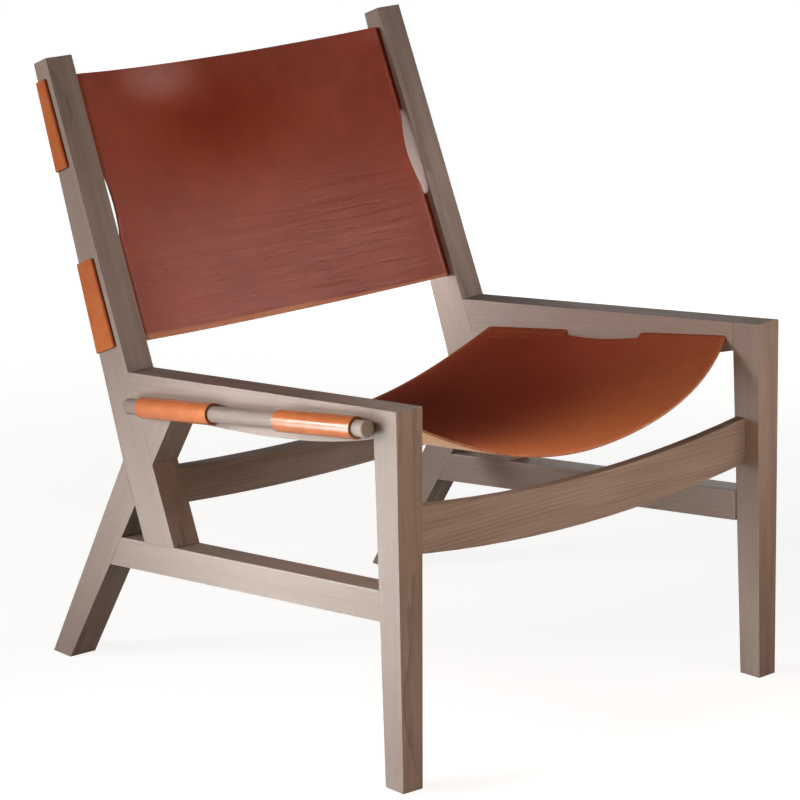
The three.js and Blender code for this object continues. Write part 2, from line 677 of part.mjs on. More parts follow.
// The seat hangs between the arm rails' inner faces, with its front edge bowed forward.
function seatSling() {
  const [front, rear] = seatSlots.map(([from, to]) => [from + SEAT_TAB_INSET, to - SEAT_TAB_INSET]);
  const lift = (LEATHER + GAP) / 2;
  const surfaceAt = (k, t, drop) => {
    const b = (t - front[0]) / (rear[1] - front[0]);
    const edge = toChair(along(seatLine, t), TIMBER + GAP);
    const bow = lerp(-SEAT_FRONT_BOW, SEAT_REAR_BOW, b) * (1 - k ** 4);
    const sag = lerp(SEAT_FRONT_SAG, SEAT_REAR_SAG, b) * (1 - k * k);
    return new THREE.Vector3(-edge.x * k, edge.y + bow, edge.z + lift - sag - drop);
  };
  const top = sheet((a, b) => surfaceAt(2 * a - 1, lerp(front[0], rear[1], b), 0), SEAT_STEPS);
  const loops = [front, rear].map(([from, to]) =>
    slab(loopShape(), from, to, LOOP_STEPS).applyMatrix4(rodMatrix));
  // Each loop's end is sewn flat under the sheet.
  const hemWidth = HEM / -toChair(v2(0, 0), TIMBER).x;
  const hems = [front, rear].map(([from, to]) =>
    sheet((a, b) => surfaceAt(-1 + hemWidth * a, lerp(from, to, b), LEATHER), HEM_STEPS));
  const tabs = [...loops.map((loop) => placed(loop, leftMatrix)), ...hems];
  const whole = join([top, ...tabs, ...tabs.map(mirrored)]);
  const lowest = seatRear.y - Math.max(SEAT_FRONT_SAG, SEAT_REAR_SAG);
  const notch = slab(
    notchShape(along(seatLine, rear[0]).x, along(seatLine, front[1]).x, SEAT_NOTCH, SEAT_NOTCH_RUN),
    lowest,
    FRONT_TOP_Z,
    NOTCH_STEPS,
  ).applyMatrix4(basis(W, U, Z, new THREE.Vector3()));
  return cut(whole, bothSides(notch));
}

function named(name, geometry, finish) {
  const mesh = new THREE.Mesh(geometry, new THREE.MeshStandardMaterial(finish));
  mesh.name = name;
  return mesh;
}

// The pieces of one side frame, drawn once and used on both sides.
const sidePieces = [
  ['front_leg', frontLeg(), WOOD],
  ['arm_rail', armRail(), WOOD],
  ['back_post', backPost(), WOOD],
  ['rear_leg', rearLeg(), WOOD],
  ['lower_stretcher', lowerStretcher(), WOOD],
  ['seat_rod', seatRod(), WOOD],
  ...Object.entries(joints).map(([name, make]) => [`${name}_tenon`, make(0), BEECH]),
  ['front_cross_tenon', frontCross(0), BEECH],
  ['rear_cross_tenon', rearCross(0), BEECH],
  ...screwPlaces.map((place, i) => [`tab_screw_${i + 1}`, placed(tabScrew(), place), BRASS]),
];

const chair = new THREE.Group();
const across = { left: 1, right: -1 };
for (const [side, sign] of Object.entries(across)) {
  const half = new THREE.Group();
  half.scale.x = sign;
  const frame = new THREE.Group();
  frame.applyMatrix4(leftMatrix);
  for (const [name, geometry, finish] of sidePieces) {
    frame.add(named(`${side}_${name}`, geometry, finish));
  }
  half.add(frame);
  chair.add(half);
}
chair.add(named('front_cross_rail', frontCrossRail(), WOOD));
chair.add(named('rear_cross_rail', rearCrossRail(), WOOD));
chair.add(named('back_sling', backSling(), HIDE));
chair.add(named('seat_sling', seatSling(), HIDE));

// The origin is on the floor, under the middle of the chair's length and width.
const box = new THREE.Box3().setFromObject(chair, true);
chair.position.y = -(box.min.y + box.max.y) / 2;
const root = new THREE.Group();
root.add(chair);

export default root;
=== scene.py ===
"""Leather sling lounge chair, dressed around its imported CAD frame.

Metres, +Z up, the sitter faces -Y. Driving dimensions are in millimetres, as in the part's source.
Left and right are as seen from the front.
"""
import math

import bmesh
import bpy
from mathutils import Matrix, Vector, noise
from mathutils.bvhtree import BVHTree


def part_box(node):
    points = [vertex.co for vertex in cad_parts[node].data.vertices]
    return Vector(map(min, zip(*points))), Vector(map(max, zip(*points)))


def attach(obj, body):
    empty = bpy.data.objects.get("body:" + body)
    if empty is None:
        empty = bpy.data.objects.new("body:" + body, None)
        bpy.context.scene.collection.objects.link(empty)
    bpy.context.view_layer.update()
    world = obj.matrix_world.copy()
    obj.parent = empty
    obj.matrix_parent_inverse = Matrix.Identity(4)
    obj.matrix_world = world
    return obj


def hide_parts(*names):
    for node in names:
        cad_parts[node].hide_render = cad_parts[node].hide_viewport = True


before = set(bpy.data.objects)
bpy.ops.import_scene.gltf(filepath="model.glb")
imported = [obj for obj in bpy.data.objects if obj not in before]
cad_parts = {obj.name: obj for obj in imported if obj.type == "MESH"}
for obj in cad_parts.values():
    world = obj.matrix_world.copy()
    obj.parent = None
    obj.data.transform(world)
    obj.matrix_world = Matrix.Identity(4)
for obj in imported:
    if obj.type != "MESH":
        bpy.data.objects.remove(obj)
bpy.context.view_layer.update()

MM = 0.001
SIDES = ("left", "right")
ORIGIN = Vector((0, 0))
WHITE = (1, 1, 1, 1)
scene = bpy.context.scene

# Side frames: u to the rear, z up, w from the outer face to the inner face.
HALF_WIDTH = 320.0
SPLAY = math.radians(2.17)
PLAN_SHIFT = -6.1013  # centres the chair's box on the origin
TIMBER = 41.0
GAP = 0.3
LEATHER = 3.0
FRONT_FOOT_U = -357.0
FRONT_FOOT_DEPTH = 32.6
FRONT_TOP_U = -346.5
FRONT_TOP_Z = 474.8
FRONT_TOP_DEPTH = 42.6
FOOT_INSET_OUTER = 2.3
RAIL_FALL = math.radians(6.18)
POST_U = 180.0
POST_LEAN = math.radians(23.28)
POST_TOP_Z = 800.3
POST_TOP_DEPTH = 28.2
POST_DEPTH = 59.5
POST_TAPER = 518.0
REAR_LEG_LEAN = math.radians(-31.5)
STRETCHER_FALL = math.radians(5.96)

# Back sling: s runs down the post's front face from its top, n to the rear.
BACK_SLOT_N = 13.0
BACK_SLOT_LENGTH = 119.0
BACK_TOP_MARGIN = 24.0
BACK_RAIL_MARGIN = 35.4
BACK_TAB_INSET = 1.0
BACK_BOW = 24.0
BACK_NOTCH = ((1.5, 11.0), (4.5, 13.5))  # cut-aways, left and right: at their ends, at their middle
BACK_ROLL = 7.5  # the hide stands this far forward beside the post
BACK_ROLL_RUN = 10.0  # and rolls back into the slot over this
BACK_FLAP = 28.0
TAB_BEND = 2.4  # mid-leather radius of a tab's bends

# Seat sling: t runs along the line of the seat's slots from its front end.
SEAT_SLOT_LENGTH = 150.0
SEAT_FRONT_MARGIN = 10.9
SEAT_REAR_MARGIN = 31.7
SEAT_FRONT_DROP = 22.1
SEAT_REAR_DROP = 38.9
SEAT_TAB_INSET = 2.2
SEAT_SAG = (85.0, 74.0)  # front, rear
SEAT_BOW = (-42.0, 17.0)
SEAT_NOTCH = (7.5, 12.5)  # at its ends, at its middle
HEM = 25.0
ROD_RADIUS = 10.5
ROD_REACH = (18.2, 29.3)  # past the front slot, past the rear slot
ROD_CLEARANCE = 0.45


def lerp(a, b, t):
    return a + (b - a) * t


def smooth(t):
    t = min(1.0, max(0.0, t))
    return t * t * (3 - 2 * t)


# Lines in the plane of a side frame: a point and a direction.
def leaning(point, angle):
    return Vector(point), Vector((math.sin(angle), math.cos(angle)))


def falling(point, angle):
    return Vector(point), Vector((math.cos(angle), -math.sin(angle)))


def through(a, b):
    return Vector(a), (Vector(b) - Vector(a)).normalized()


def side_of(direction):
    return Vector((direction.y, -direction.x))


def shifted(line, by):
    return line[0] + side_of(line[1]) * by, line[1]


def meet(a, b):
    cross = a[1].x * b[1].y - a[1].y * b[1].x
    gap = b[0] - a[0]
    return a[0] + a[1] * ((gap.x * b[1].y - gap.y * b[1].x) / cross)


def upright(u):
    return leaning((u, 0), 0)


def in_chair(point, w, side="left"):
    """A point of a side frame as a point of the chair."""
    x = -HALF_WIDTH + point.x * math.sin(SPLAY) + w * math.cos(SPLAY)
    y = point.x * math.cos(SPLAY) - w * math.sin(SPLAY) + PLAN_SHIFT
    return Vector((x if side == "left" else -x, y, point.y)) * MM


def heading(direction, side):
    """A direction in a side frame's plane as a direction of the chair."""
    return (in_chair(direction, 0, side) - in_chair(ORIGIN, 0, side)).normalized()


def inward(side):
    """One millimetre from a side frame's outer face towards its inner face."""
    return in_chair(ORIGIN, 1, side) - in_chair(ORIGIN, 0, side)


rail_top = falling((FRONT_TOP_U, FRONT_TOP_Z), RAIL_FALL)
leg_front = through((FRONT_FOOT_U, 0), (FRONT_TOP_U, FRONT_TOP_Z))
leg_rear = through(
    (FRONT_FOOT_U + FRONT_FOOT_DEPTH, 0), meet(rail_top, upright(FRONT_TOP_U + FRONT_TOP_DEPTH))
)
post_front = leaning(meet(rail_top, upright(POST_U)), POST_LEAN)
post_top = meet(post_front, falling((0, POST_TOP_Z), 0))
post_back = side_of(post_front[1])
back_length = (post_top - post_front[0]).length - BACK_RAIL_MARGIN
seat_front = meet(shifted(leg_rear, SEAT_FRONT_MARGIN), shifted(rail_top, SEAT_FRONT_DROP))
seat_rear = meet(shifted(post_front, -SEAT_REAR_MARGIN), shifted(rail_top, SEAT_REAR_DROP))
seat_dir = (seat_rear - seat_front).normalized()
seat_up = Vector((-seat_dir.y, seat_dir.x))
seat_length = (seat_rear - seat_front).length


def post_point(s, n):
    return post_top - post_front[1] * s + post_back * n


def post_depth(s):
    return lerp(POST_TOP_DEPTH, POST_DEPTH, min(1.0, s / POST_TAPER))


# Camera at the photograph's angle, for a square image.
CAMERA_AT = Vector((-3.405, -3.6941, 1.716))
CAMERA_AZIMUTH = math.radians(-42.65)
CAMERA_ELEVATION = math.radians(15.12)
CAMERA_LENS = 180.54
CAMERA_SENSOR = 36.0

camera_data = bpy.data.cameras.new("camera")
camera_data.lens = CAMERA_LENS
camera_data.sensor_width = CAMERA_SENSOR
camera = bpy.data.objects.new("camera", camera_data)
scene.collection.objects.link(camera)
camera.location = CAMERA_AT
camera_back = Vector((
    math.sin(CAMERA_AZIMUTH) * math.cos(CAMERA_ELEVATION),
    -math.cos(CAMERA_AZIMUTH) * math.cos(CAMERA_ELEVATION),
    math.sin(CAMERA_ELEVATION),
))
camera.rotation_mode = "QUATERNION"
camera.rotation_quaternion = (-camera_back).to_track_quat("-Z", "Y")
scene.camera = camera
scene.view_settings.view_transform = "Standard"


# Node materials.
class Nodes:
    """A node tree, with short calls for the nodes used here."""

    def __init__(self, tree):
        self.tree = tree
        tree.nodes.clear()

    def add(self, kind, inputs=None, **settings):
        node = self.tree.nodes.new("ShaderNode" + kind)
        for name, value in settings.items():
            setattr(node, name, value)
        for name, value in (inputs or {}).items():
            self.set(node.inputs[name], value)
        return node

    def set(self, socket, value):
        if isinstance(value, bpy.types.NodeSocket):
            self.tree.links.new(value, socket)
        else:
            socket.default_value = value

    def math(self, operation, a, b, clamp=False):
        return self.add("Math", {0: a, 1: b}, operation=operation, use_clamp=clamp).outputs[0]

    def times(self, a, b):
        return self.math("MULTIPLY", a, b)

    def plus(self, a, b):
        return self.math("ADD", a, b)

    def minus(self, a, b, clamp=False):
        return self.math("SUBTRACT", a, b, clamp)

    def mix(self, factor, a, b):
        node = self.add("Mix", data_type="RGBA", clamp_factor=True)
        colours = [i for i in node.inputs if i.type == "RGBA"]
        self.set(node.inputs[0], factor)
        self.set(colours[0], a)
        self.set(colours[1], b)
        return next(o for o in node.outputs if o.type == "RGBA")

    def span(self, value, low, high, to_low=0.0, to_high=1.0):
        """The value from low..high as to_low..to_high, eased and held at both ends."""
        inputs = {"Value": value, "From Min": low, "From Max": high, "To Min": to_low, "To Max": to_high}
        return self.add("MapRange", inputs, interpolation_type="SMOOTHSTEP").outputs[0]

    def place(self):
        return self.add("TexCoord").outputs["Object"]

    def attribute(self, name, output="Vector"):
        return self.add("Attribute", attribute_name=name).outputs[output]

    def stretched(self, vector, scale):
        return self.add("VectorMath", {0: vector, 1: scale}, operation="MULTIPLY").outputs[0]

    def length(self, vector):
        return self.add("VectorMath", {0: vector}, operation="LENGTH").outputs["Value"]

    def noise(self, vector, scale, detail=3.0, roughness=0.5, distortion=0.0):
        inputs = {"Vector": vector, "Scale": scale, "Detail": detail, "Roughness": roughness}
        return self.add("TexNoise", {**inputs, "Distortion": distortion}).outputs[0]

    def bump(self, height, strength, distance):
        inputs = {"Height": height, "Strength": strength, "Distance": distance}
        return self.add("Bump", inputs).outputs[0]

    def surface(self, **inputs):
        named = {name.replace("_", " "): value for name, value in inputs.items()}
        shader = self.add("BsdfPrincipled", named)
        self.add("OutputMaterial", {"Surface": shader.outputs[0]})


def material(name):
    made = bpy.data.materials.new(name)
    made.use_nodes = True
    return made, Nodes(made.node_tree)


def shade_smooth(mesh, sharp=None):
    """Smooth shading, with the edges over a sharp angle kept hard."""
    for polygon in mesh.polygons:
        polygon.use_smooth = True
    if sharp is not None:
        mesh.set_sharp_from_angle(angle=math.radians(sharp))


def finished(shape, name, sharp=None):
    """The mesh of a bmesh that is no longer needed."""
    mesh = bpy.data.meshes.new(name)
    shape.to_mesh(mesh)
    shape.free()
    shade_smooth(mesh, sharp)
    return mesh


def closed(shape, name, sharp=None):
    """The mesh of a closed bmesh, facing outward."""
    bmesh.ops.recalc_face_normals(shape, faces=shape.faces)
    return finished(shape, name, sharp)


def skin(shape, rings):
    """Faces from ring to ring of points, and over both ends."""
    for a, b in zip(rings, rings[1:]):
        for i in range(len(a)):
            j = (i + 1) % len(a)
            shape.faces.new((a[i], a[j], b[j], b[i]))
    shape.faces.new(list(reversed(rings[0])))
    shape.faces.new(rings[-1])


def piece(name, mesh, materials, body, slot, *nodes):
    """A shown piece that rides on a body and stands for CAD nodes."""
    made = bpy.data.objects.new(name, mesh)
    scene.collection.objects.link(made)
    for each in materials:
        mesh.materials.append(each)
    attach(made, body)
    if nodes:
        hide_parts(*nodes)
    return made


# Floor, backdrop and light.
FLOOR_SIZE = 14.0
FLOOR_LIFT = (0.86, 0.985)  # light that the floor shows beyond its shading: near, far
FLOOR_FADE = (0.8, 2.4)  # from near to far
FLOOR_TONES = ((0.25, 0.25, 0.245, 1), (0.28, 0.28, 0.275, 1))
FLOOR_SPECK = 40.0
WORLD_LIGHT = 0.06
WORLD_TONE = (1.0, 0.90, 0.80, 1)
GLOSS_SHARE = 0.30  # of the white surroundings in the gloss of the chair
CEILING_TONE = (0.22, 0.22, 0.22, 1)  # the surroundings darken to this overhead
CEILING_RISE = (0.10, 0.42)  # from white to that tone, by the height of a view's direction


def rays(nodes):
    """1 on camera and transmission rays, then 1 on glossy rays."""
    path = nodes.add("LightPath").outputs
    seen = nodes.math("MAXIMUM", path["Is Camera Ray"], path["Is Transmission Ray"])
    return seen, path["Is Glossy Ray"]


def make_floor():
    half = FLOOR_SIZE / 2
    mesh = bpy.data.meshes.new("floor")
    corners = [(-half, -half, 0), (half, -half, 0), (half, half, 0), (-half, half, 0)]
    mesh.from_pydata(corners, [], [(0, 1, 2, 3)])
    floor = bpy.data.objects.new("floor", mesh)
    scene.collection.objects.link(floor)
    pale, nodes = material("floor")
    place = nodes.place()
    speck = nodes.noise(place, FLOOR_SPECK)
    away = nodes.length(place)
    seen, glossy = rays(nodes)
    shown = nodes.plus(seen, nodes.times(glossy, GLOSS_SHARE))
    nodes.surface(
        Base_Color=nodes.mix(speck, *FLOOR_TONES),
        Roughness=0.9,
        Specular_IOR_Level=0.0,
        Emission_Color=WHITE,
        Emission_Strength=nodes.times(shown, nodes.span(away, *FLOOR_FADE, *FLOOR_LIFT)),
    )
    mesh.materials.append(pale)


def make_world():
    world = bpy.data.worlds.new("world")
    world.use_nodes = True
    scene.world = world
    nodes = Nodes(world.node_tree)

    def sky(colour, strength):
        return nodes.add("Background", {"Color": colour, "Strength": strength}).outputs[0]

    height = nodes.add("SeparateXYZ", {0: nodes.add("TexCoord").outputs["Generated"]}).outputs["Z"]
    sweep = nodes.mix(nodes.span(height, *CEILING_RISE), WHITE, CEILING_TONE)
    seen, glossy = rays(nodes)
    ambient = sky(WORLD_TONE, WORLD_LIGHT)
    lit = nodes.add("MixShader", {0: glossy, 1: ambient, 2: sky(sweep, GLOSS_SHARE)})
    chosen = nodes.add("MixShader", {0: seen, 1: lit.outputs[0], 2: sky(WHITE, 1.0)})
    nodes.add("OutputWorld", {"Surface": chosen.outputs[0]})


def softbox(name, at, target, size, power, colour, spread):
    lamp = bpy.data.lights.new(name, "AREA")
    lamp.shape = "RECTANGLE"
    lamp.size, lamp.size_y = size
    lamp.energy = power
    lamp.color = colour
    lamp.spread = math.radians(spread)
    box = bpy.data.objects.new(name, lamp)
    scene.collection.objects.link(box)
    box.location = at
    aim = Vector(target) - Vector(at)
    box.rotation_mode = "QUATERNION"
    box.rotation_quaternion = aim.to_track_quat("-Z", "Y")
    box.visible_camera = False


OPEN = 180  # spread of a lamp that shines all ways
LAMPS = (
    # name, place, target, size, power, colour, spread in degrees
    # Left faces: low and close, then from the front and from the rear.
    ("key_low", (-0.95, 0.16, 0.18), (-0.33, -0.24, 0.22), (0.5, 0.3), 2.05, (0.82, 0.95, 1.0), 88),
    ("key_front", (-3.8, -0.70, 1.25), (0.0, 0.0, 0.40), (1.2, 1.0), 20.0, (1.0, 0.74, 0.62), OPEN),
    ("key_rear", (-3.4, 1.50, 1.45), (0.0, 0.0, 0.40), (1.2, 1.0), 80.0, (0.97, 0.98, 1.0), OPEN),
    # Front faces.
    ("fill", (0.05, -1.08, 0.42), (0.05, -0.10, 0.32), (1.2, 0.3), 4.7, (1.0, 0.76, 0.60), OPEN),
    # Narrow lamps: on the back, the seat's front, the right post's foot and the left loops.
    ("sheen", (1.6, -1.45, 1.05), (0.10, 0.22, 0.56), (0.9, 0.7), 0.80, (1.0, 0.95, 0.93), 20),
    ("rake", (0.05, 0.0, 1.70), (-0.10, -0.385, 0.39), (0.2, 0.2), 0.40, (1.0, 0.98, 0.92), 25),
    ("snoot", (-1.0, 1.20, 0.40), (0.29, 0.18, 0.48), (0.2, 0.2), 0.30, (0.97, 0.98, 1.0), 18),
    ("glint", (-1.04, 0.50, 0.58), (-0.37, -0.20, 0.42), (0.3, 0.1), 0.26, (1.0, 0.98, 0.96), 40),
    # Right faces.
    ("far_side", (2.3, 1.30, 0.28), (0.1, 0.1, 0.40), (1.2, 0.4), 13.0, (1.0, 0.97, 0.94), OPEN),
)

make_floor()
make_world()
for lamp in LAMPS:
    softbox(*lamp)

# Timber.
EASE = 1.4  # rounding of the members' free edges
EASE_STEPS = 2
CONTACT = 0.6  # a free edge is further than this from the next member
CORNER_LENGTH = 1.5  # a corner edge is longer than this
CORNER_ANGLE = math.radians(25)  # and turns by more than this
SPLIT_STEP = 3.0
SPLIT_HALVINGS = 7
SPLIT_END = 0.002  # share of an edge beside its ends that isn't split
WELD = 0.02
FLAT = math.radians(0.35)  # faces that turn by less are joined
OUTER_FACE = 0.1  # a point this close lies on a member's outer face
FACING = 0.8  # least cosine to the side for a plain face
SHARP = 12  # degrees
FRAME_PARTS = {
    "front_leg": leg_front[1],
    "arm_rail": rail_top[1],
    "back_post": post_front[1],
    "rear_leg": leaning((0, 0), REAR_LEG_LEAN)[1],
    "lower_stretcher": falling((0, 0), STRETCHER_FALL)[1],
}
CROSS_RAILS = ("front_cross_rail", "rear_cross_rail")
GRAIN_HEART = 0.11  # how far a board's face was from the heart of the tree
GRAIN_SPREAD = (0.02, 0.03)  # how far that differs from board to board
BOARD_STEP = 1.37  # from board to board along the grain

# Noise scales in a board: along the grain, then twice across it.
SWAY = (2.2, 16.0, 16.0)  # wander of the year rings
FADING = (6.0, 45.0, 45.0)  # where the rings' dark lines fade
FIBRE = (14.0, 620.0, 620.0)
STREAK = (3.0, 70.0, 70.0)
CLOUD = (5.0, 14.0, 14.0)
PORE = (70.0, 1500.0, 1500.0)
MARK = (8.0, 30.0, 30.0)
MARKED = (4.0, 9.0, 9.0)  # where the small dark marks lie
RINGS = 170.0  # to a metre
RING_SWAY = 4.2  # rings
RING_EDGE = 2.6  # how sharply a ring darkens towards its end
PLAIN_LOSS = 0.62  # of figure on a plain face
# How far each feature takes the colour towards its own.
LATE_SHARE = 0.52
FIBRE_SHARE = 0.24
MARK_SHARE = 0.42
PORE_SHARE = 0.28
END_SHARE = 0.60
WEAR_AND_HIGHLIGHT_SHARE = 0.60
TIMBER_SPECULAR = 0.24


def timber_material(name, dark, light, line_dark, wear_and_highlight_tone, stored=True):
    """Timber by the board's own axes where a piece stores them, and else by its place."""
    made, nodes = material(name)
    grain = nodes.attribute("grain") if stored else nodes.place()

    def grained(scale, detail, roughness=0.5):
        return nodes.noise(nodes.stretched(grain, scale), 1.0, detail, roughness)

    wear_and_highlight = nodes.attribute("wear_and_highlight", "Fac")
    figure = nodes.minus(1.0, nodes.times(nodes.attribute("plain", "Fac"), PLAIN_LOSS))
    radius = nodes.length(nodes.stretched(grain, (0, 1, 1)))
    ring = nodes.plus(nodes.times(radius, RINGS), nodes.times(grained(SWAY, 3.0, 0.55), RING_SWAY))
    late = nodes.math("POWER", nodes.math("FRACT", ring, 0.0), RING_EDGE)
    late = nodes.times(late, nodes.span(grained(FADING, 2.0), 0.36, 0.62, 0.15, 1.0))
    fibre = grained(FIBRE, 4.0, 0.6)
    streak = grained(STREAK, 3.0, 0.6)
    pores = nodes.span(grained(PORE, 1.0), 0.60, 0.72)
    tone = nodes.plus(nodes.times(streak, 0.55), nodes.times(grained(CLOUD, 2.0), 0.45))
    even = nodes.times(nodes.minus(nodes.span(tone, 0.30, 0.70), 0.5), figure)
    base = nodes.mix(nodes.plus(even, 0.5), dark, light)
    base = nodes.mix(nodes.times(nodes.times(late, LATE_SHARE), figure), base, line_dark)
    threads = nodes.times(nodes.span(fibre, 0.30, 0.80, 0.0, FIBRE_SHARE), figure)
    cell = nodes.add("TexVoronoi", {"Vector": nodes.stretched(grain, MARK), "Scale": 1.0})
    marked = nodes.span(grained(MARKED, 1.0), 0.54, 0.62)
    mark = nodes.times(nodes.span(cell.outputs["Distance"], 0.05, 0.20, MARK_SHARE, 0.0), marked)
    end = nodes.times(nodes.attribute("end", "Fac"), END_SHARE)
    for share in (threads, mark, nodes.times(pores, PORE_SHARE), end):
        base = nodes.mix(share, base, line_dark)
    # Eased edges are lighter: partly wear, partly a painted highlight along them.
    base = nodes.mix(nodes.times(wear_and_highlight, WEAR_AND_HIGHLIGHT_SHARE), base, wear_and_highlight_tone)
    height = nodes.minus(nodes.times(fibre, 0.6), nodes.times(pores, 0.7))
    height = nodes.minus(height, nodes.times(late, 0.25))
    nodes.surface(
        Base_Color=base,
        Roughness=nodes.span(streak, 0.2, 0.8, 0.44, 0.58),
        Specular_IOR_Level=TIMBER_SPECULAR,
        Normal=nodes.bump(height, 0.35, 0.00025),
    )
    return made


# The last tone is the eased edges' wear and painted highlight.
wood = timber_material(
    "stained_timber", (0.258, 0.191, 0.156, 1), (0.380, 0.298, 0.256, 1), (0.135, 0.095, 0.072, 1),
    (0.47, 0.395, 0.34, 1),
)
beech = timber_material(
    "beech", (0.50, 0.33, 0.18, 1), (0.62, 0.44, 0.27, 1), (0.36, 0.22, 0.11, 1),
    (0.66, 0.48, 0.31, 1), stored=False,
)


def surface_tree(names):
    """Search tree over the surfaces of several CAD nodes."""
    points, faces = [], []
    for name in names:
        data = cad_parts[name].data
        start = len(points)
        points += [v.co.copy() for v in data.vertices]
        faces += [[start + i for i in p.vertices] for p in data.polygons]
    return BVHTree.FromPolygons(points, faces)


def touches(tree, point):
    return tree.find_nearest(point, CONTACT * MM)[0] is not None


def is_corner(edge):
    return (
        len(edge.link_faces) == 2
        and edge.calc_length() > CORNER_LENGTH * MM
        and edge.is_convex
        and edge.calc_face_angle() > CORNER_ANGLE
    )


def split_at_joints(mesh, tree):
    """Splits each corner edge where it runs into a joint with the next member."""
    for edge in [e for e in mesh.edges if is_corner(e)]:
        first = edge.verts[0]
        a, b = (v.co.copy() for v in edge.verts)
        count = max(2, math.ceil((b - a).length / (SPLIT_STEP * MM)))
        state = [touches(tree, a.lerp(b, i / count)) for i in range(count + 1)]
        places = []
        for i in range(count):
            if state[i] == state[i + 1]:
                continue
            low, high = i / count, (i + 1) / count
            for _ in range(SPLIT_HALVINGS):
                mid = (low + high) / 2
                if touches(tree, a.lerp(b, mid)) == state[i]:
                    low = mid
                else:
                    high = mid
            if SPLIT_END < low < 1 - SPLIT_END:
                places.append(low)
        part, reach = edge, 1.0
        for place in reversed(places):
            new = bmesh.utils.edge_split(part, first, place / reach)[1]
            part = next(e for e in new.link_edges if e.other_vert(new) == first)
            reach = place


def grain_of(mesh, origin, along, across, seed):
    """Stores each point in the board's own axes: along the grain, then from the tree's heart."""
    third = along.cross(across)
    shift = Vector((
        seed * BOARD_STEP,
        GRAIN_HEART + GRAIN_SPREAD[0] * math.sin(seed * 2.1),
        GRAIN_SPREAD[1] * math.cos(seed * 1.7),
    ))
    layer = mesh.attributes.new("grain", "FLOAT_VECTOR", "POINT")
    for vertex, item in zip(mesh.vertices, layer.data):
        away = vertex.co - origin
        item.vector = Vector((away.dot(along), away.dot(third), away.dot(across))) + shift


def plane_flush(shape, side):
    """Planes a stretcher's outer face down to the tapered leg at its front end."""
    origin = in_chair(ORIGIN, 0, side)
    step = inward(side)
    front = min(v.co.y for v in shape.verts)
    for vertex in shape.verts:
        depth = (vertex.co - origin).dot(step) / step.length_squared
        if abs(depth) < OUTER_FACE and vertex.co.y < front + FRONT_TOP_DEPTH * MM:
            vertex.co += step * (FOOT_INSET_OUTER * (1 - vertex.co.z / MM / FRONT_TOP_Z))


def timber_piece(node, along, across, seed):
    shape = bmesh.new()
    shape.from_mesh(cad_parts[node].data)
    if node.endswith("_lower_stretcher"):
        plane_flush(shape, node.split("_")[0])
    mark = shape.faces.layers.float.new("wear_and_highlight")
    bmesh.ops.remove_doubles(shape, verts=shape.verts, dist=WELD * MM)
    bmesh.ops.dissolve_limit(shape, angle_limit=FLAT, verts=shape.verts, edges=shape.edges)
    tree = surface_tree(n for n in timber_nodes if n != node)
    split_at_joints(shape, tree)
    free = [
        e for e in shape.edges
        if is_corner(e) and not touches(tree, (e.verts[0].co + e.verts[1].co) / 2)
    ]
    eased = bmesh.ops.bevel(
        shape, geom=free, offset=EASE * MM, offset_type="OFFSET", segments=EASE_STEPS, profile=0.5,
        affect="EDGES", clamp_overlap=True,
    )
    # The eased faces take the lighter edge tone: wear and a painted highlight.
    for face in eased["faces"]:
        face[mark] = 1.0
    mesh = finished(shape, node + "_timber", SHARP)
    if node not in CROSS_RAILS:
        plain = mesh.attributes.new("plain", "FLOAT", "FACE")
        for polygon, item in zip(mesh.polygons, plain.data):
            item.value = 1.0 if abs(polygon.normal.dot(across)) > FACING else 0.0
    low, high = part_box(node)
    grain_of(mesh, (low + high) / 2, along, across, seed)
    piece(node + "_timber", mesh, [wood], "frame", "wood", node)


timber_nodes = [f"{side}_{part}" for side in SIDES for part in FRAME_PARTS] + list(CROSS_RAILS)
for side_index, side in enumerate(SIDES):
    across = inward(side).normalized()
    for index, (part, direction) in enumerate(FRAME_PARTS.items()):
        seed = 1.0 + index + len(FRAME_PARTS) * side_index
        timber_piece(f"{side}_{part}", heading(direction, side), across, seed)
for index, node in enumerate(CROSS_RAILS):
    timber_piece(node, Vector((1, 0, 0)), Vector((0, 1, 0)), 12.0 + index)
for name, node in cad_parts.items():
    if name.endswith("_tenon"):
        node.data.materials.clear()
        node.data.materials.append(beech)

# Leather.
EDGE_ROUND = 0.45  # how far a cut edge bulges
EDGE_BAND = 6.8  # width of the paler band beside a cut edge
HIDE_SHARP = 50  # degrees
HIDE_FACTS = ("pulled_and_lit", "crease", "band", "shine")  # stored at each point for the material
HIDE_CLOUD = 7.0
HIDE_MOTTLE = 42.0
HIDE_FLECK = 420.0
HIDE_CELLS = 780.0
HIDE_CREASE = (8.5, 88.0, 1.0)  # across the hide, down it
HIDE_TONES = ((0.300, 0.044, 0.018, 1), (0.400, 0.072, 0.032, 1))
# Painted shade along the creases: its tone and how far it goes.
CREASE_SHADE_TONE = (0.17, 0.035, 0.020, 1)
CREASE_SHADE_SHARE = 0.18
CREASE_DEPTH = 1.9
FLECK_TONE = (0.16, 0.032, 0.016, 1)
FLECK_SHARE = 0.25
DULL_SHADE_TONE = (0.195, 0.030, 0.013, 1)  # painted shade where the hide has no polish, as over most of the seat and the back's upper middle
DULL_SHADE_SHARE = 0.55
BENT_AND_LIT_TONES = ((0.47, 0.122, 0.034, 1), (0.53, 0.152, 0.046, 1))  # where it is pulled round a bend, and painted light on the tabs, loops and the seat's front lip
BAND_TONE = (0.58, 0.195, 0.062, 1)
DULL_ROUGHNESS = 0.36  # added where there is no polish
DRAWN_SMOOTHNESS = 0.20  # taken off where the shine is 2, as on leather drawn tight
POLISH = (0.08, 0.40)  # specular level with no shine, and what a shine of 1 adds
FLESH_CLOUD = 16.0
FLESH_NAP = 900.0
FLESH_TONES = ((0.82, 0.37, 0.135, 1), (0.90, 0.46, 0.195, 1))
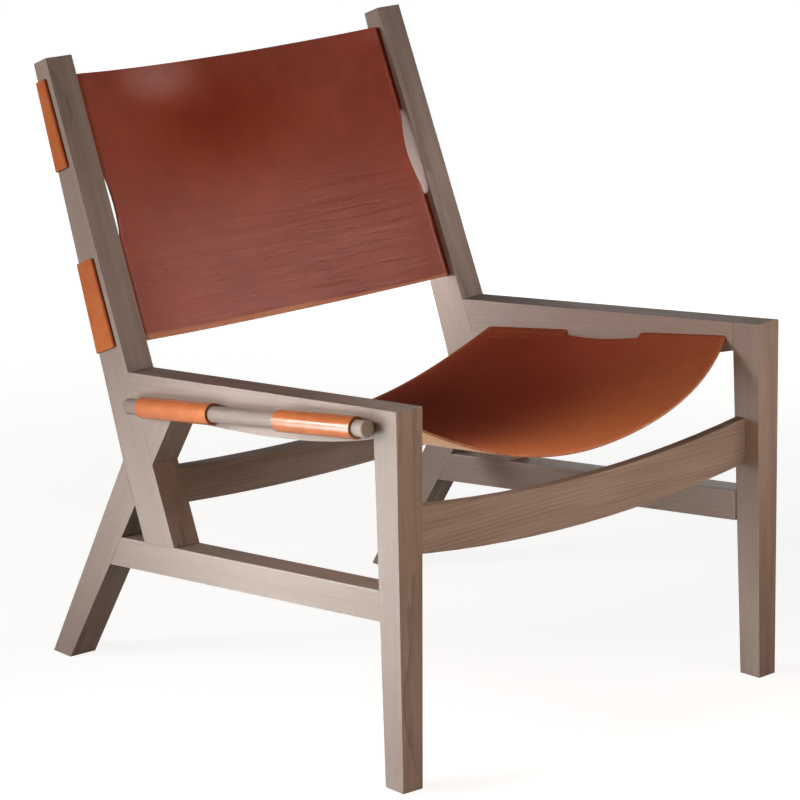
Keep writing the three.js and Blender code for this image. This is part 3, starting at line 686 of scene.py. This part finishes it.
NAP_TONE = (0.60, 0.30, 0.14, 1)
NAP_SHARE = 0.35
EDGE_FIBRE = 300.0
EDGE_TONES = ((0.33, 0.105, 0.035, 1), (0.50, 0.19, 0.075, 1))


def leather_grain_material():
    made, nodes = material("leather_grain")
    hide = nodes.attribute("hide")
    pulled_and_lit, crease, band, shine = (nodes.attribute(name, "Fac") for name in HIDE_FACTS)
    cloud = nodes.noise(hide, HIDE_CLOUD, 3.0, 0.55)
    mottle = nodes.noise(hide, HIDE_MOTTLE, 4.0, 0.6)
    fleck = nodes.noise(hide, HIDE_FLECK, 2.0)
    cells = nodes.add(
        "TexVoronoi", {"Vector": hide, "Scale": HIDE_CELLS}, feature="DISTANCE_TO_EDGE"
    ).outputs["Distance"]
    line = nodes.noise(nodes.stretched(hide, HIDE_CREASE), 1.0, 2.0, 0.5, 0.3)
    lines = nodes.times(nodes.span(line, 0.44, 0.62), crease)
    tone = nodes.plus(nodes.times(cloud, 0.65), nodes.times(mottle, 0.35))
    base = nodes.mix(nodes.span(tone, 0.32, 0.68), *HIDE_TONES)
    # Painted shade darkens the creases.
    base = nodes.mix(nodes.times(lines, CREASE_SHADE_SHARE), base, CREASE_SHADE_TONE)
    base = nodes.mix(nodes.span(fleck, 0.62, 0.80, 0.0, FLECK_SHARE), base, FLECK_TONE)
    unpolished = nodes.minus(1.0, shine, clamp=True)
    # Painted shade: the hide darkens where its shine is low.
    dull_shade = nodes.times(nodes.math("POWER", unpolished, 2.0), DULL_SHADE_SHARE)
    base = nodes.mix(dull_shade, base, DULL_SHADE_TONE)
    bent = nodes.mix(nodes.span(mottle, 0.30, 0.70), *BENT_AND_LIT_TONES)
    # Bent leather is paler: partly its own pull-up, partly painted light on the tabs, loops and the
    # seat's front lip.
    base = nodes.mix(pulled_and_lit, base, bent)
    base = nodes.mix(band, base, BAND_TONE)
    height = nodes.plus(nodes.times(nodes.span(cells, 0.0, 0.25), 0.55), nodes.times(fleck, 0.5))
    height = nodes.minus(height, nodes.times(lines, CREASE_DEPTH))
    drawn = nodes.times(nodes.minus(shine, 1.0, clamp=True), DRAWN_SMOOTHNESS)
    dull = nodes.minus(nodes.times(unpolished, DULL_ROUGHNESS), drawn)
    nodes.surface(
        Base_Color=base,
        Roughness=nodes.plus(nodes.span(mottle, 0.25, 0.75, 0.34, 0.44), dull),
        Specular_IOR_Level=nodes.plus(nodes.times(shine, POLISH[1]), POLISH[0]),
        Normal=nodes.bump(height, nodes.minus(0.35, drawn), 0.0005),
    )
    return made


def leather_flesh_material():
    made, nodes = material("leather_flesh")
    hide = nodes.attribute("hide")
    nap = nodes.noise(hide, FLESH_NAP, 3.0, 0.7)
    cloud = nodes.noise(hide, FLESH_CLOUD, 4.0, 0.6)
    base = nodes.mix(nodes.span(cloud, 0.3, 0.7), *FLESH_TONES)
    base = nodes.mix(nodes.span(nap, 0.35, 0.75, 0.0, NAP_SHARE), base, NAP_TONE)
    nodes.surface(
        Base_Color=base,
        Roughness=0.92,
        Specular_IOR_Level=0.2,
        Sheen_Weight=0.25,
        Normal=nodes.bump(nap, 0.6, 0.0006),
    )
    return made


def leather_edge_material():
    made, nodes = material("leather_edge")
    hide = nodes.attribute("hide")
    fibre = nodes.noise(hide, EDGE_FIBRE, 3.0, 0.6)
    nodes.surface(
        Base_Color=nodes.mix(nodes.span(fibre, 0.3, 0.7), *EDGE_TONES),
        Roughness=nodes.span(fibre, 0.3, 0.7, 0.45, 0.62),
        Normal=nodes.bump(fibre, 0.4, 0.0003),
    )
    return made


hides = [leather_grain_material(), leather_flesh_material(), leather_edge_material()]


class Sheet:
    """Middle of a hide: rows of points by column number, made into a solid of its thickness."""

    def __init__(self):
        self.rows = []

    def row(self, points):
        """points: column -> (place, pull, crease, band, shine, distance down the hide)."""
        self.rows.append(points)

    def spans(self, row):
        columns = sorted(row)
        return [(row[b][0] - row[a][0]).length for a, b in zip(columns, columns[1:])]

    def build(self, name, facing):
        """Mesh of the hide, with its grain side to the direction facing."""
        index, places, facts = {}, [], []
        for i, row in enumerate(self.rows):
            spans = self.spans(row)
            across = -sum(spans) / 2
            for column, span in zip(sorted(row), spans + [0.0]):
                index[i, column] = len(places)
                place, *looks, down = row[column]
                places.append(place)
                facts.append((across, down, *looks))
                across += span
        quads = []
        for i, row in enumerate(self.rows[:-1]):
            for c in row:
                ring = [(i, c), (i + 1, c), (i + 1, c + 1), (i, c + 1)]
                if all(key in index for key in ring):
                    quads.append([index[key] for key in ring])
        middle = bmesh.new()
        points = [middle.verts.new(p) for p in places]
        faces = [middle.faces.new([points[k] for k in quad]) for quad in quads]
        middle.normal_update()
        total = sum((f.normal * f.calc_area() for f in faces), Vector())
        if total.dot(facing) < 0:
            bmesh.ops.reverse_faces(middle, faces=faces)
            middle.normal_update()
        self.area = sum(f.calc_area() for f in faces)
        middle.verts.index_update()
        # Each face is doubled half a thickness to both sides, and the rim is closed with a rounded edge.
        normals = [v.normal.copy() for v in points]
        out = [Vector() for _ in points]
        rims = []
        for edge in middle.edges:
            if not edge.is_boundary:
                continue
            loop = edge.link_loops[0]
            a, b = loop.vert, loop.link_loop_next.vert
            away = (b.co - a.co).cross(loop.face.normal).normalized()
            out[a.index] += away
            out[b.index] += away
            rims.append((a.index, b.index))
        solid = []
        count = len(points)
        half = LEATHER * MM / 2
        for sign in (1, -1):
            solid += [p + n * (sign * half) for p, n in zip(places, normals)]
        edge_of = {}
        for k in sorted({k for pair in rims for k in pair}):
            edge_of[k] = len(solid)
            solid.append(places[k] + out[k].normalized() * (EDGE_ROUND * MM))
        source = list(range(count)) * 2 + sorted(edge_of)
        shape, slots = [], []
        for face in faces:
            ring = [v.index for v in face.verts]
            shape += [ring, [count + k for k in reversed(ring)]]
            slots += [0, 1]
        for a, b in rims:
            c, d = edge_of[a], edge_of[b]
            shape += [[b, a, c, d], [d, c, count + a, count + b]]
            slots += [2, 2]
        middle.free()
        mesh = bpy.data.meshes.new(name)
        mesh.from_pydata(solid, [], shape)
        mesh.polygons.foreach_set("material_index", slots)
        shade_smooth(mesh, HIDE_SHARP)
        layer = mesh.attributes.new("hide", "FLOAT_VECTOR", "POINT")
        for k, item in zip(source, layer.data):
            item.vector = (facts[k][0], facts[k][1], 0.0)
        for place, label in enumerate(HIDE_FACTS, 2):
            layer = mesh.attributes.new(label, "FLOAT", "POINT")
            for k, item in zip(source, layer.data):
                item.value = facts[k][place]
        return mesh


def spaced(low, high, step):
    count = max(1, round((high - low) / step))
    return [lerp(low, high, i / count) for i in range(count + 1)]


def lens(at, low, high, depths):
    """Depth of the cut-away between two tabs."""
    share = (at - low) / (high - low)
    return lerp(*depths, math.sin(math.pi * share)) if 0 < share < 1 else 0.0


def arc(centre, radius, first, last, count):
    turns = [lerp(first, last, i / count) for i in range(count + 1)]
    return [centre + Vector((math.cos(t), math.sin(t))) * radius for t in turns]


SHEET_STEP = 4.0
BACK_STEP = 2.0  # where the back is creased
SHEET_COLUMNS = 108
CLOSE_UP = 0.75  # how far the columns close up towards both edges
FIRM = 0.9  # share of the half width that a cut-away leaves alone


def across_places(cuts, half_width):
    """Column positions from -1 to 1, drawn in beside the left and right cut-aways."""
    places = []
    for j in range(SHEET_COLUMNS + 1):
        k = 2 * j / SHEET_COLUMNS - 1
        k = lerp(k, math.sin(math.pi / 2 * k), CLOSE_UP)
        if abs(k) > FIRM:
            edge = 1 - cuts[k > 0] / half_width
            k = math.copysign(FIRM + (abs(k) - FIRM) * (edge - FIRM) / (1 - FIRM), k)
        places.append(k)
    return places


def band_by(distance):
    """How much of the paler band shows at a distance from a cut edge."""
    return 1.0 - smooth((distance - EDGE_BAND * 0.75) / (EDGE_BAND * 0.5))


# Back: stretched between the posts, each side held by two tabs that go round the post.
back_slots = (
    (BACK_TOP_MARGIN, BACK_TOP_MARGIN + BACK_SLOT_LENGTH),
    (back_length - BACK_SLOT_LENGTH, back_length),
)
back_upper, back_lower = ((a + BACK_TAB_INSET, b - BACK_TAB_INSET) for a, b in back_slots)
BACK_WAVE = 1.6
CREASE_WAVE = 0.72
# Polish of the back, by k across it from -1 to 1 and s down it.
SHINE_TOP = 0.53
SHINE_LOW = (0.92, 0.14)  # and what its right side adds
GLEAM_SHINE = 1.35
CORNER_SHINE = 0.9
# Spots: middle and reach across, middle and reach down.
# The dull spot also carries painted shade over the back's upper middle.
SHADED_DULL_SPOT = (-0.12, 0.55, 102.0, 70.0)
GLEAM_SPOT = (-0.45, 0.30, 40.0, 33.0)
CORNER_SPOT = (0.95, 0.22, 30.0, 45.0)
BAND_THINNED = 2.4  # the lower edge's band is this much thinner to the right
TAB_STEP = 6.0
TAB_BEND_STEPS = 4
TAB_LOOKS = (0.1, 0.0, 0.2)  # crease, band, shine
PULL_RUN = 5  # columns over which a tab takes the colour of bent leather and its painted light
ROW_GAP = 0.1  # from a tab's last row to the first row of a cut-away


def back_edge(s):
    """Where the back leaves the left post's slot."""
    return in_chair(post_point(s, BACK_SLOT_N), TIMBER + GAP)


def back_surface(k, s):
    edge = back_edge(s)
    bow = BACK_BOW * (1 - k * k)
    bow -= BACK_ROLL * k ** 4 * smooth((1 - abs(k)) * -edge.x / MM / BACK_ROLL_RUN)
    bow += BACK_WAVE * noise.noise(Vector((2.1 * k, s / 150, 3.0))) * (1 - k ** 6)
    bow += CREASE_WAVE * noise.noise(Vector((1.7 * k + 0.009 * s, s / 13, 7.0))) * back_crease(k, s)
    return Vector((-edge.x * k, edge.y + bow * post_back.x * MM, edge.z + bow * post_back.y * MM))


def back_crease(k, s):
    """Where the back is creased: its lower half, most to the right."""
    return smooth((s - 130) / 150) * (0.45 + 0.55 * smooth((k + 0.5) / 1.2)) * (1 - abs(k) ** 8)


def spread_from(spot, k, s):
    """Distances from a spot's middle, across and down, as shares of its reach."""
    return (k - spot[0]) / spot[1], (s - spot[2]) / spot[3]


def around(spot, k, s):
    """1 at the middle of a spot, fading out past its reach."""
    across, down = spread_from(spot, k, s)
    return math.exp(-across ** 2 - down ** 2)


def back_shine(k, s):
    """Where the back is polished: more down it, little about its upper middle, most in two spots. Where
    the polish is low, the hide takes painted shade.
    """
    low = lerp(SHINE_TOP, SHINE_LOW[0] + SHINE_LOW[1] * smooth((k - 0.2) / 0.6), smooth((s - 110) / 230))
    corner = smooth(1.0 - math.hypot(*spread_from(CORNER_SPOT, k, s)))
    gleam = GLEAM_SHINE * around(GLEAM_SPOT, k, s)
    return max(low * (1 - around(SHADED_DULL_SPOT, k, s)), gleam, CORNER_SHINE * corner)


def back_tab(s):
    """Section of a tab in (w, n), from the sheet's edge to the end of its flap."""
    off = GAP + LEATHER / 2
    rear = post_depth(s) + off
    side = -off + TAB_BEND
    inner = Vector((side, BACK_SLOT_N + TAB_BEND))
    outer = Vector((side, rear - TAB_BEND))
    path = [Vector((w, BACK_SLOT_N)) for w in spaced(TIMBER + GAP, side, TAB_STEP)[1:-1]]
    path += arc(inner, TAB_BEND, -math.pi / 2, -math.pi, TAB_BEND_STEPS)
    path += [inner.lerp(outer, t) + Vector((-TAB_BEND, 0)) for t in (0.2, 0.4, 0.6, 0.8)]
    path += arc(outer, TAB_BEND, math.pi, math.pi / 2, TAB_BEND_STEPS)
    path += [Vector((w, rear)) for w in spaced(side, BACK_FLAP, TAB_STEP)[1:]]
    return path


def make_back():
    sheet = Sheet()
    rows = spaced(*back_upper, SHEET_STEP) + spaced(*back_lower, BACK_STEP)
    rows += spaced(back_upper[1] + ROW_GAP, back_lower[0] - ROW_GAP, BACK_STEP)
    for s in sorted(rows):
        half_width = -back_edge(s).x / MM
        cuts = [lens(s, back_upper[1], back_lower[0], depths) for depths in BACK_NOTCH]
        points = {}
        for j, k in enumerate(across_places(cuts, half_width)):
            thinned = lerp(1.0, BAND_THINNED, smooth((k - 0.1) / 0.6))
            looks = (back_crease(k, s), band_by((back_lower[1] - s) * thinned), back_shine(k, s))
            points[j] = (back_surface(k, s), 0.0, *looks, s * MM)
        if s <= back_upper[1] or s >= back_lower[0]:
            for m, p in enumerate(back_tab(s)):
                place = post_point(s, p.y)
                looks = (smooth((m + 1) / PULL_RUN), *TAB_LOOKS, s * MM)
                points[-1 - m] = (in_chair(place, p.x, "left"), *looks)
                points[SHEET_COLUMNS + 1 + m] = (in_chair(place, p.x, "right"), *looks)
        sheet.row(points)
    mesh = sheet.build("back_leather", Vector((0, -1, 0.4)))
    back = piece("back_leather", mesh, hides, "frame", "leather", "back_sling")


make_back()

# Seat: hung from the rods, each side held by two loops whose ends are sewn under it.
seat_tabs = (
    (SEAT_TAB_INSET, SEAT_SLOT_LENGTH - SEAT_TAB_INSET),
    (seat_length - SEAT_SLOT_LENGTH + SEAT_TAB_INSET, seat_length - SEAT_TAB_INSET),
)
LAYER_LIFT = (LEATHER + GAP) / 2  # of one layer of a doubled tab from the slot's middle
LOOP_RADIUS = ROD_RADIUS + ROD_CLEARANCE + LEATHER / 2
ROD_OUT = LOOP_RADIUS + LEATHER / 2 + GAP  # rod's axis outside the rail
LOOP_STEPS = 34
HEM_LIFT = 3.1
HEM_TRIM = 7.0  # the hems stop this far short of the hide's front and rear edges
HEM_STEP = 5.0
HEM_LOOKS = (0.6, 0.1, 0.0, 0.2)  # pull, crease, band, shine
LOOP_LOOKS = (0.0, 0.0, 2.2)  # crease, band, shine
SLOT_STEP = 6.5
SLOT_END = 2.5  # the last step in a slot, before its mouth
SEAT_WAVE = 1.4
SEAT_CREASE = 0.25
SEAT_BAND = 0.35
SEAT_SHINE = (0.05, 0.40)  # least, and at the front right; where it is least, the seat takes painted shade
SIDE_PULL = 0.2  # beside the arm rails
LIP_PAINTED_LIGHT = 0.52  # painted light: paler leather towards the front edge
LIP_REACH = 230.0
# How far the lip's painted light goes towards the band's tone.
LIP_LIGHT_BAND = 0.4


def seat_edge(t):
    """Where the seat leaves the left arm rail's slots."""
    return in_chair(seat_front + seat_dir * t, TIMBER + GAP)


def seat_surface(k, t):
    b = (t - seat_tabs[0][0]) / (seat_tabs[1][1] - seat_tabs[0][0])
    edge = seat_edge(t)
    bow = lerp(*SEAT_BOW, b) * (1 - k ** 4)
    sag = lerp(*SEAT_SAG, b) * (1 - k * k)
    sag += SEAT_WAVE * noise.noise(Vector((1.7 * k, t / 170, 11.0))) * (1 - k ** 6)
    return Vector((-edge.x * k, edge.y + bow * MM, edge.z + (LAYER_LIFT - sag) * MM))


def seat_normal(k, t):
    step = 1e-3
    a = seat_surface(k + step, t) - seat_surface(k - step, t)
    b = seat_surface(k, t + 1) - seat_surface(k, t - 1)
    return a.cross(b).normalized()


def on_seat_line(t, w, up, side):
    return in_chair(seat_front + seat_dir * t + seat_up * up, w, side)


def loop_path():
    """A loop in (w, up): out through the slot, round the rod and back in."""
    mouth = Vector((-GAP, LAYER_LIFT))
    axis = Vector((-ROD_OUT, 0))
    away = mouth - axis
    start = math.atan2(away.y, away.x) + math.acos(LOOP_RADIUS / away.length)
    out = [Vector((w, LAYER_LIFT)) for w in spaced(TIMBER + GAP, SLOT_END, SLOT_STEP)[1:]] + [mouth]
    turn = arc(axis, LOOP_RADIUS, start, 2 * math.pi - start, LOOP_STEPS)
    back = [Vector((p.x, -p.y)) for p in reversed(out)]
    return out + turn + back + [Vector((TIMBER + GAP, -LAYER_LIFT))]


def make_seat():
    sheet = Sheet()
    (front_low, front_high), (rear_low, rear_high) = seat_tabs
    rows = spaced(front_low, front_high, SHEET_STEP) + spaced(rear_low, rear_high, SHEET_STEP)
    rows += spaced(front_high + ROW_GAP, rear_low - ROW_GAP, SHEET_STEP)
    path = loop_path()
    for t in sorted(rows):
        half_width = -seat_edge(t).x / MM
        band = SEAT_BAND * band_by(min(t - front_low, rear_high - t))
        cuts = [lens(t, front_high, rear_low, SEAT_NOTCH)] * 2
        points = {}
        for j, k in enumerate(across_places(cuts, half_width)):
            # Painted light on the front lip, paler towards the front edge.
            pale = LIP_PAINTED_LIGHT * smooth((LIP_REACH - t) / LIP_REACH) * (1 - 0.5 * k * k)
            pulled_and_lit = max(SIDE_PULL * smooth((abs(k) - 0.93) / 0.07), pale)
            crease = SEAT_CREASE * (1 - abs(k) ** 4)
            shine = lerp(*SEAT_SHINE, smooth((k - 0.45) / 0.4) * smooth((330 - t) / 200))
            looks = (pulled_and_lit, crease, max(band, LIP_LIGHT_BAND * pale), shine)
            points[j] = (seat_surface(k, t), *looks, t * MM)
        if t <= front_high or t >= rear_low:
            tail = len(path)
            for m, p in enumerate(path):
                looks = (smooth((m + 1) / PULL_RUN), *LOOP_LOOKS)
                for column, side in ((-1 - m, "left"), (SHEET_COLUMNS + 1 + m, "right")):
                    points[column] = (on_seat_line(t, p.x, p.y, side), *looks, t * MM)
            hem = spaced(0, HEM, HEM_STEP)[1:] if front_low + HEM_TRIM < t < rear_high - HEM_TRIM else []
            for m, reach in enumerate(hem):
                k = 1 - reach / half_width
                for sign in (-1, 1):
                    under = seat_surface(sign * k, t) - seat_normal(sign * k, t) * (HEM_LIFT * MM)
                    column = -1 - tail - m if sign < 0 else SHEET_COLUMNS + 1 + tail + m
                    points[column] = (under, *HEM_LOOKS, t * MM)
        sheet.row(points)
    mesh = sheet.build("seat_leather", Vector((0, 0, 1)))
    seat = piece("seat_leather", mesh, hides, "frame", "leather", "seat_sling")
    length = max(
        (seat_surface(0, rear_high) - seat_surface(0, front_low)).length,
        (rear_high - front_low) * MM,
    )
    make_stitching()


# Stitching through each hem, in waxed thread of the leather's colour.
STITCH_ROWS = (7.0, 19.0)  # in from the arm rail
STITCH_PITCH = 5.0
STITCH_LENGTH = 3.6
STITCH_MARGIN = 5.0
THREAD_RADIUS = 0.42
THREAD_SIDES = 6
THREAD_TONES = ((0.16, 0.045, 0.022, 1), (0.27, 0.085, 0.04, 1))
# Along half a stitch, rise and size of the thread in its radius.
STITCH_RINGS = ((-1, -0.5, 0.5), (-0.6, 0.25, 0.95), (0, 0.45, 1.0), (0.6, 0.25, 0.95), (1, -0.5, 0.5))


def thread_material():
    made, nodes = material("waxed_thread")
    twist = nodes.noise(nodes.place(), 2600.0, 2.0)
    shade = nodes.mix(nodes.span(twist, 0.35, 0.65), *THREAD_TONES)
    nodes.surface(Base_Color=shade, Roughness=0.55, Normal=nodes.bump(twist, 0.5, 0.0002))
    return made


def add_stitch(shape, centre, along, normal):
    """A stitch pulled down into the hide at both ends."""
    across = along.cross(normal)
    rings = []
    for share, rise, size in STITCH_RINGS:
        middle = centre + along * (share * STITCH_LENGTH / 2 * MM) + normal * (rise * THREAD_RADIUS * MM)
        ring = []
        for i in range(THREAD_SIDES):
            turn = 2 * math.pi * i / THREAD_SIDES
            spoke = across * math.cos(turn) + normal * math.sin(turn)
            ring.append(shape.verts.new(middle + spoke * (THREAD_RADIUS * size * MM)))
        rings.append(ring)
    skin(shape, rings)


def make_stitching():
    shape = bmesh.new()
    top = LEATHER / 2
    under = HEM_LIFT + LEATHER / 2
    for low, high in seat_tabs:
        count = int((high - low - 2 * STITCH_MARGIN) / STITCH_PITCH)
        for i in range(count + 1):
            t = lerp(low + STITCH_MARGIN, high - STITCH_MARGIN, i / count)
            half_width = -seat_edge(t).x / MM
            for row in STITCH_ROWS:
                for sign in (-1, 1):
                    k = sign * (1 - row / half_width)
                    place, normal = seat_surface(k, t), seat_normal(k, t)
                    along = (seat_surface(k, t + 1) - seat_surface(k, t - 1)).normalized()
                    add_stitch(shape, place + normal * (top * MM), along, normal)
                    add_stitch(shape, place - normal * (under * MM), along, -normal)
    mesh = closed(shape, "seat_stitching")
    return piece("seat_stitching", mesh, [thread_material()], "frame", "leather")


make_seat()


# Turned pieces: seat rods and tab screws.
def lathe(profile, steps, matrix):
    """Shape turned about +Z from (radius, height) pairs; a third value makes that ring a hexagon."""
    shape = bmesh.new()
    rings = []
    for radius, height, *flats in profile:
        ring = []
        for i in range(steps):
            turn = 2 * math.pi * i / steps
            reach = radius
            if flats:
                reach *= math.cos(math.pi / 6) / math.cos(turn % (math.pi / 3) - math.pi / 6)
            spot = Vector((reach * math.cos(turn), reach * math.sin(turn), height))
            ring.append(shape.verts.new(matrix @ spot))
        rings.append(ring)
    skin(shape, rings)
    return shape


def frame_at(place, along, across):
    third = along.cross(across).normalized()
    made = Matrix((across, third, along)).transposed().to_4x4()
    made.translation = place
    return made


TURNED_STEPS = 48
ROD_EASE = 1.6
ROD_EASE_STEPS = 4
ROD_LENGTHS = 8
ROD_SHARP = 40  # degrees
ROD_END_FACING = 0.98  # least cosine to the rod's line for an end face
ROD_SIDE_TONE = 0.35  # of the darker end grain's tone, on a rod's side


def make_rod(side, seed):
    along = heading(seat_dir, side)
    outward = (on_seat_line(0, -1, 0, side) - on_seat_line(0, 0, 0, side)).normalized()
    place = on_seat_line(0, -ROD_OUT, 0, side)
    radius = ROD_RADIUS * MM
    ease = ROD_EASE * MM
    low, high = -ROD_REACH[0] * MM, (seat_length + ROD_REACH[1]) * MM
    quarter = [math.pi / 2 * i / ROD_EASE_STEPS for i in range(ROD_EASE_STEPS + 1)]
    corner = [(radius - ease * (1 - math.sin(a)), ease * (1 - math.cos(a))) for a in quarter]
    profile = [(reach, low + inset) for reach, inset in corner]
    profile += [(radius, lerp(low, high, i / ROD_LENGTHS)) for i in range(1, ROD_LENGTHS)]
    profile += [(reach, high - inset) for reach, inset in reversed(corner)]
    shape = lathe(profile, TURNED_STEPS, frame_at(place, along, outward))
    mesh = closed(shape, side + "_rod_timber", ROD_SHARP)
    grain_of(mesh, place, along, outward, seed)
    # The eased ends take the lighter edge tone: wear and a painted highlight.
    wear_and_highlight = mesh.attributes.new("wear_and_highlight", "FLOAT", "POINT")
    for vertex, item in zip(mesh.vertices, wear_and_highlight.data):
        reach = (vertex.co - place).dot(along)
        item.value = 1.0 if reach < low + ease or reach > high - ease else 0.0
    end = mesh.attributes.new("end", "FLOAT", "FACE")
    for polygon, item in zip(mesh.polygons, end.data):
        item.value = 1.0 if abs(polygon.normal.dot(along)) > ROD_END_FACING else ROD_SIDE_TONE
    piece(side + "_rod_timber", mesh, [wood], side + "_rod", "wood", side + "_seat_rod")


for index, side in enumerate(SIDES):
    make_rod(side, 20.0 + 3 * index)

# Tab screws: dome heads with a hexagon socket, two in each tab of the back.
SCREW_W = 15.0  # in from the post's outer face
SCREW_INSET = 28.0  # from the ends of the slot
SCREW_SEAT = LEATHER + 2 * GAP
SCREW_SHANK = 1.8
SCREW_BITE = 9.0
SCREW_POINT = (0.6, 0.8)  # its share of the shank's radius, its length
SCREW_SHARP = 35  # degrees
HEAD_RADIUS = 5.0
HEAD_EASE = 0.2
HEAD_RIM = 0.4
HEAD_HEIGHT = 2.4
DOME_STEPS = 7
SOCKET = 1.75
SOCKET_LAND = 0.5  # from the dome's end to the socket
SOCKET_EASE = (0.2, 0.03, 0.15)  # out, up, down
SOCKET_DEPTH = 1.5
BRASS_TONES = ((0.80, 0.58, 0.27, 1), (0.50, 0.33, 0.14, 1))


def brass_material():
    made, nodes = material("brass")
    place = nodes.place()
    brushed = nodes.noise(place, 2400.0, 3.0, 0.6)
    tarnish = nodes.noise(place, 420.0, 3.0, 0.6)
    nodes.surface(
        Base_Color=nodes.mix(nodes.span(tarnish, 0.35, 0.70), *BRASS_TONES),
        Metallic=1.0,
        Roughness=nodes.span(brushed, 0.30, 0.70, 0.22, 0.38),
        Normal=nodes.bump(brushed, 0.2, 0.00005),
    )
    return made


def make_screw(side, number, s):
    rear_face = through(post_point(POST_TAPER, POST_DEPTH), post_point(0, POST_TOP_DEPTH))
    axis = heading(side_of(rear_face[1]), side)
    place = in_chair(post_point(s, post_depth(s)), SCREW_W, side)
    rim = SCREW_SEAT + HEAD_RIM
    rise = HEAD_HEIGHT - HEAD_RIM
    point, taper = SCREW_POINT
    profile = [(SCREW_SHANK * point, -SCREW_BITE), (SCREW_SHANK, taper - SCREW_BITE)]
    profile += [(SCREW_SHANK, SCREW_SEAT), (HEAD_RADIUS - HEAD_EASE, SCREW_SEAT), (HEAD_RADIUS, rim)]
    for i in range(1, DOME_STEPS + 1):
        radius = lerp(HEAD_RADIUS, SOCKET + SOCKET_LAND, i / DOME_STEPS)
        profile.append((radius, rim + rise * math.sqrt(1 - (radius / HEAD_RADIUS) ** 2)))
    flat = profile[-1][1]
    out, up, down = SOCKET_EASE
    profile += [(SOCKET + out, flat + up, 1), (SOCKET, flat - down, 1)]
    profile.append((SOCKET, SCREW_SEAT + HEAD_HEIGHT - SOCKET_DEPTH, 1))
    profile = [(radius * MM, height * MM, *flats) for radius, height, *flats in profile]
    shape = lathe(profile, TURNED_STEPS, frame_at(place, axis, inward(side).normalized()))
    name = f"{side}_tab_screw_{number}"
    mesh = closed(shape, name + "_brass", SCREW_SHARP)
    piece(name + "_brass", mesh, [brass], "frame", "brass", name)


brass = brass_material()
screw_places = [s for a, b in back_slots for s in (a + SCREW_INSET, b - SCREW_INSET)]
for side in SIDES:
    for number, s in enumerate(screw_places, 1):
        make_screw(side, number, s)
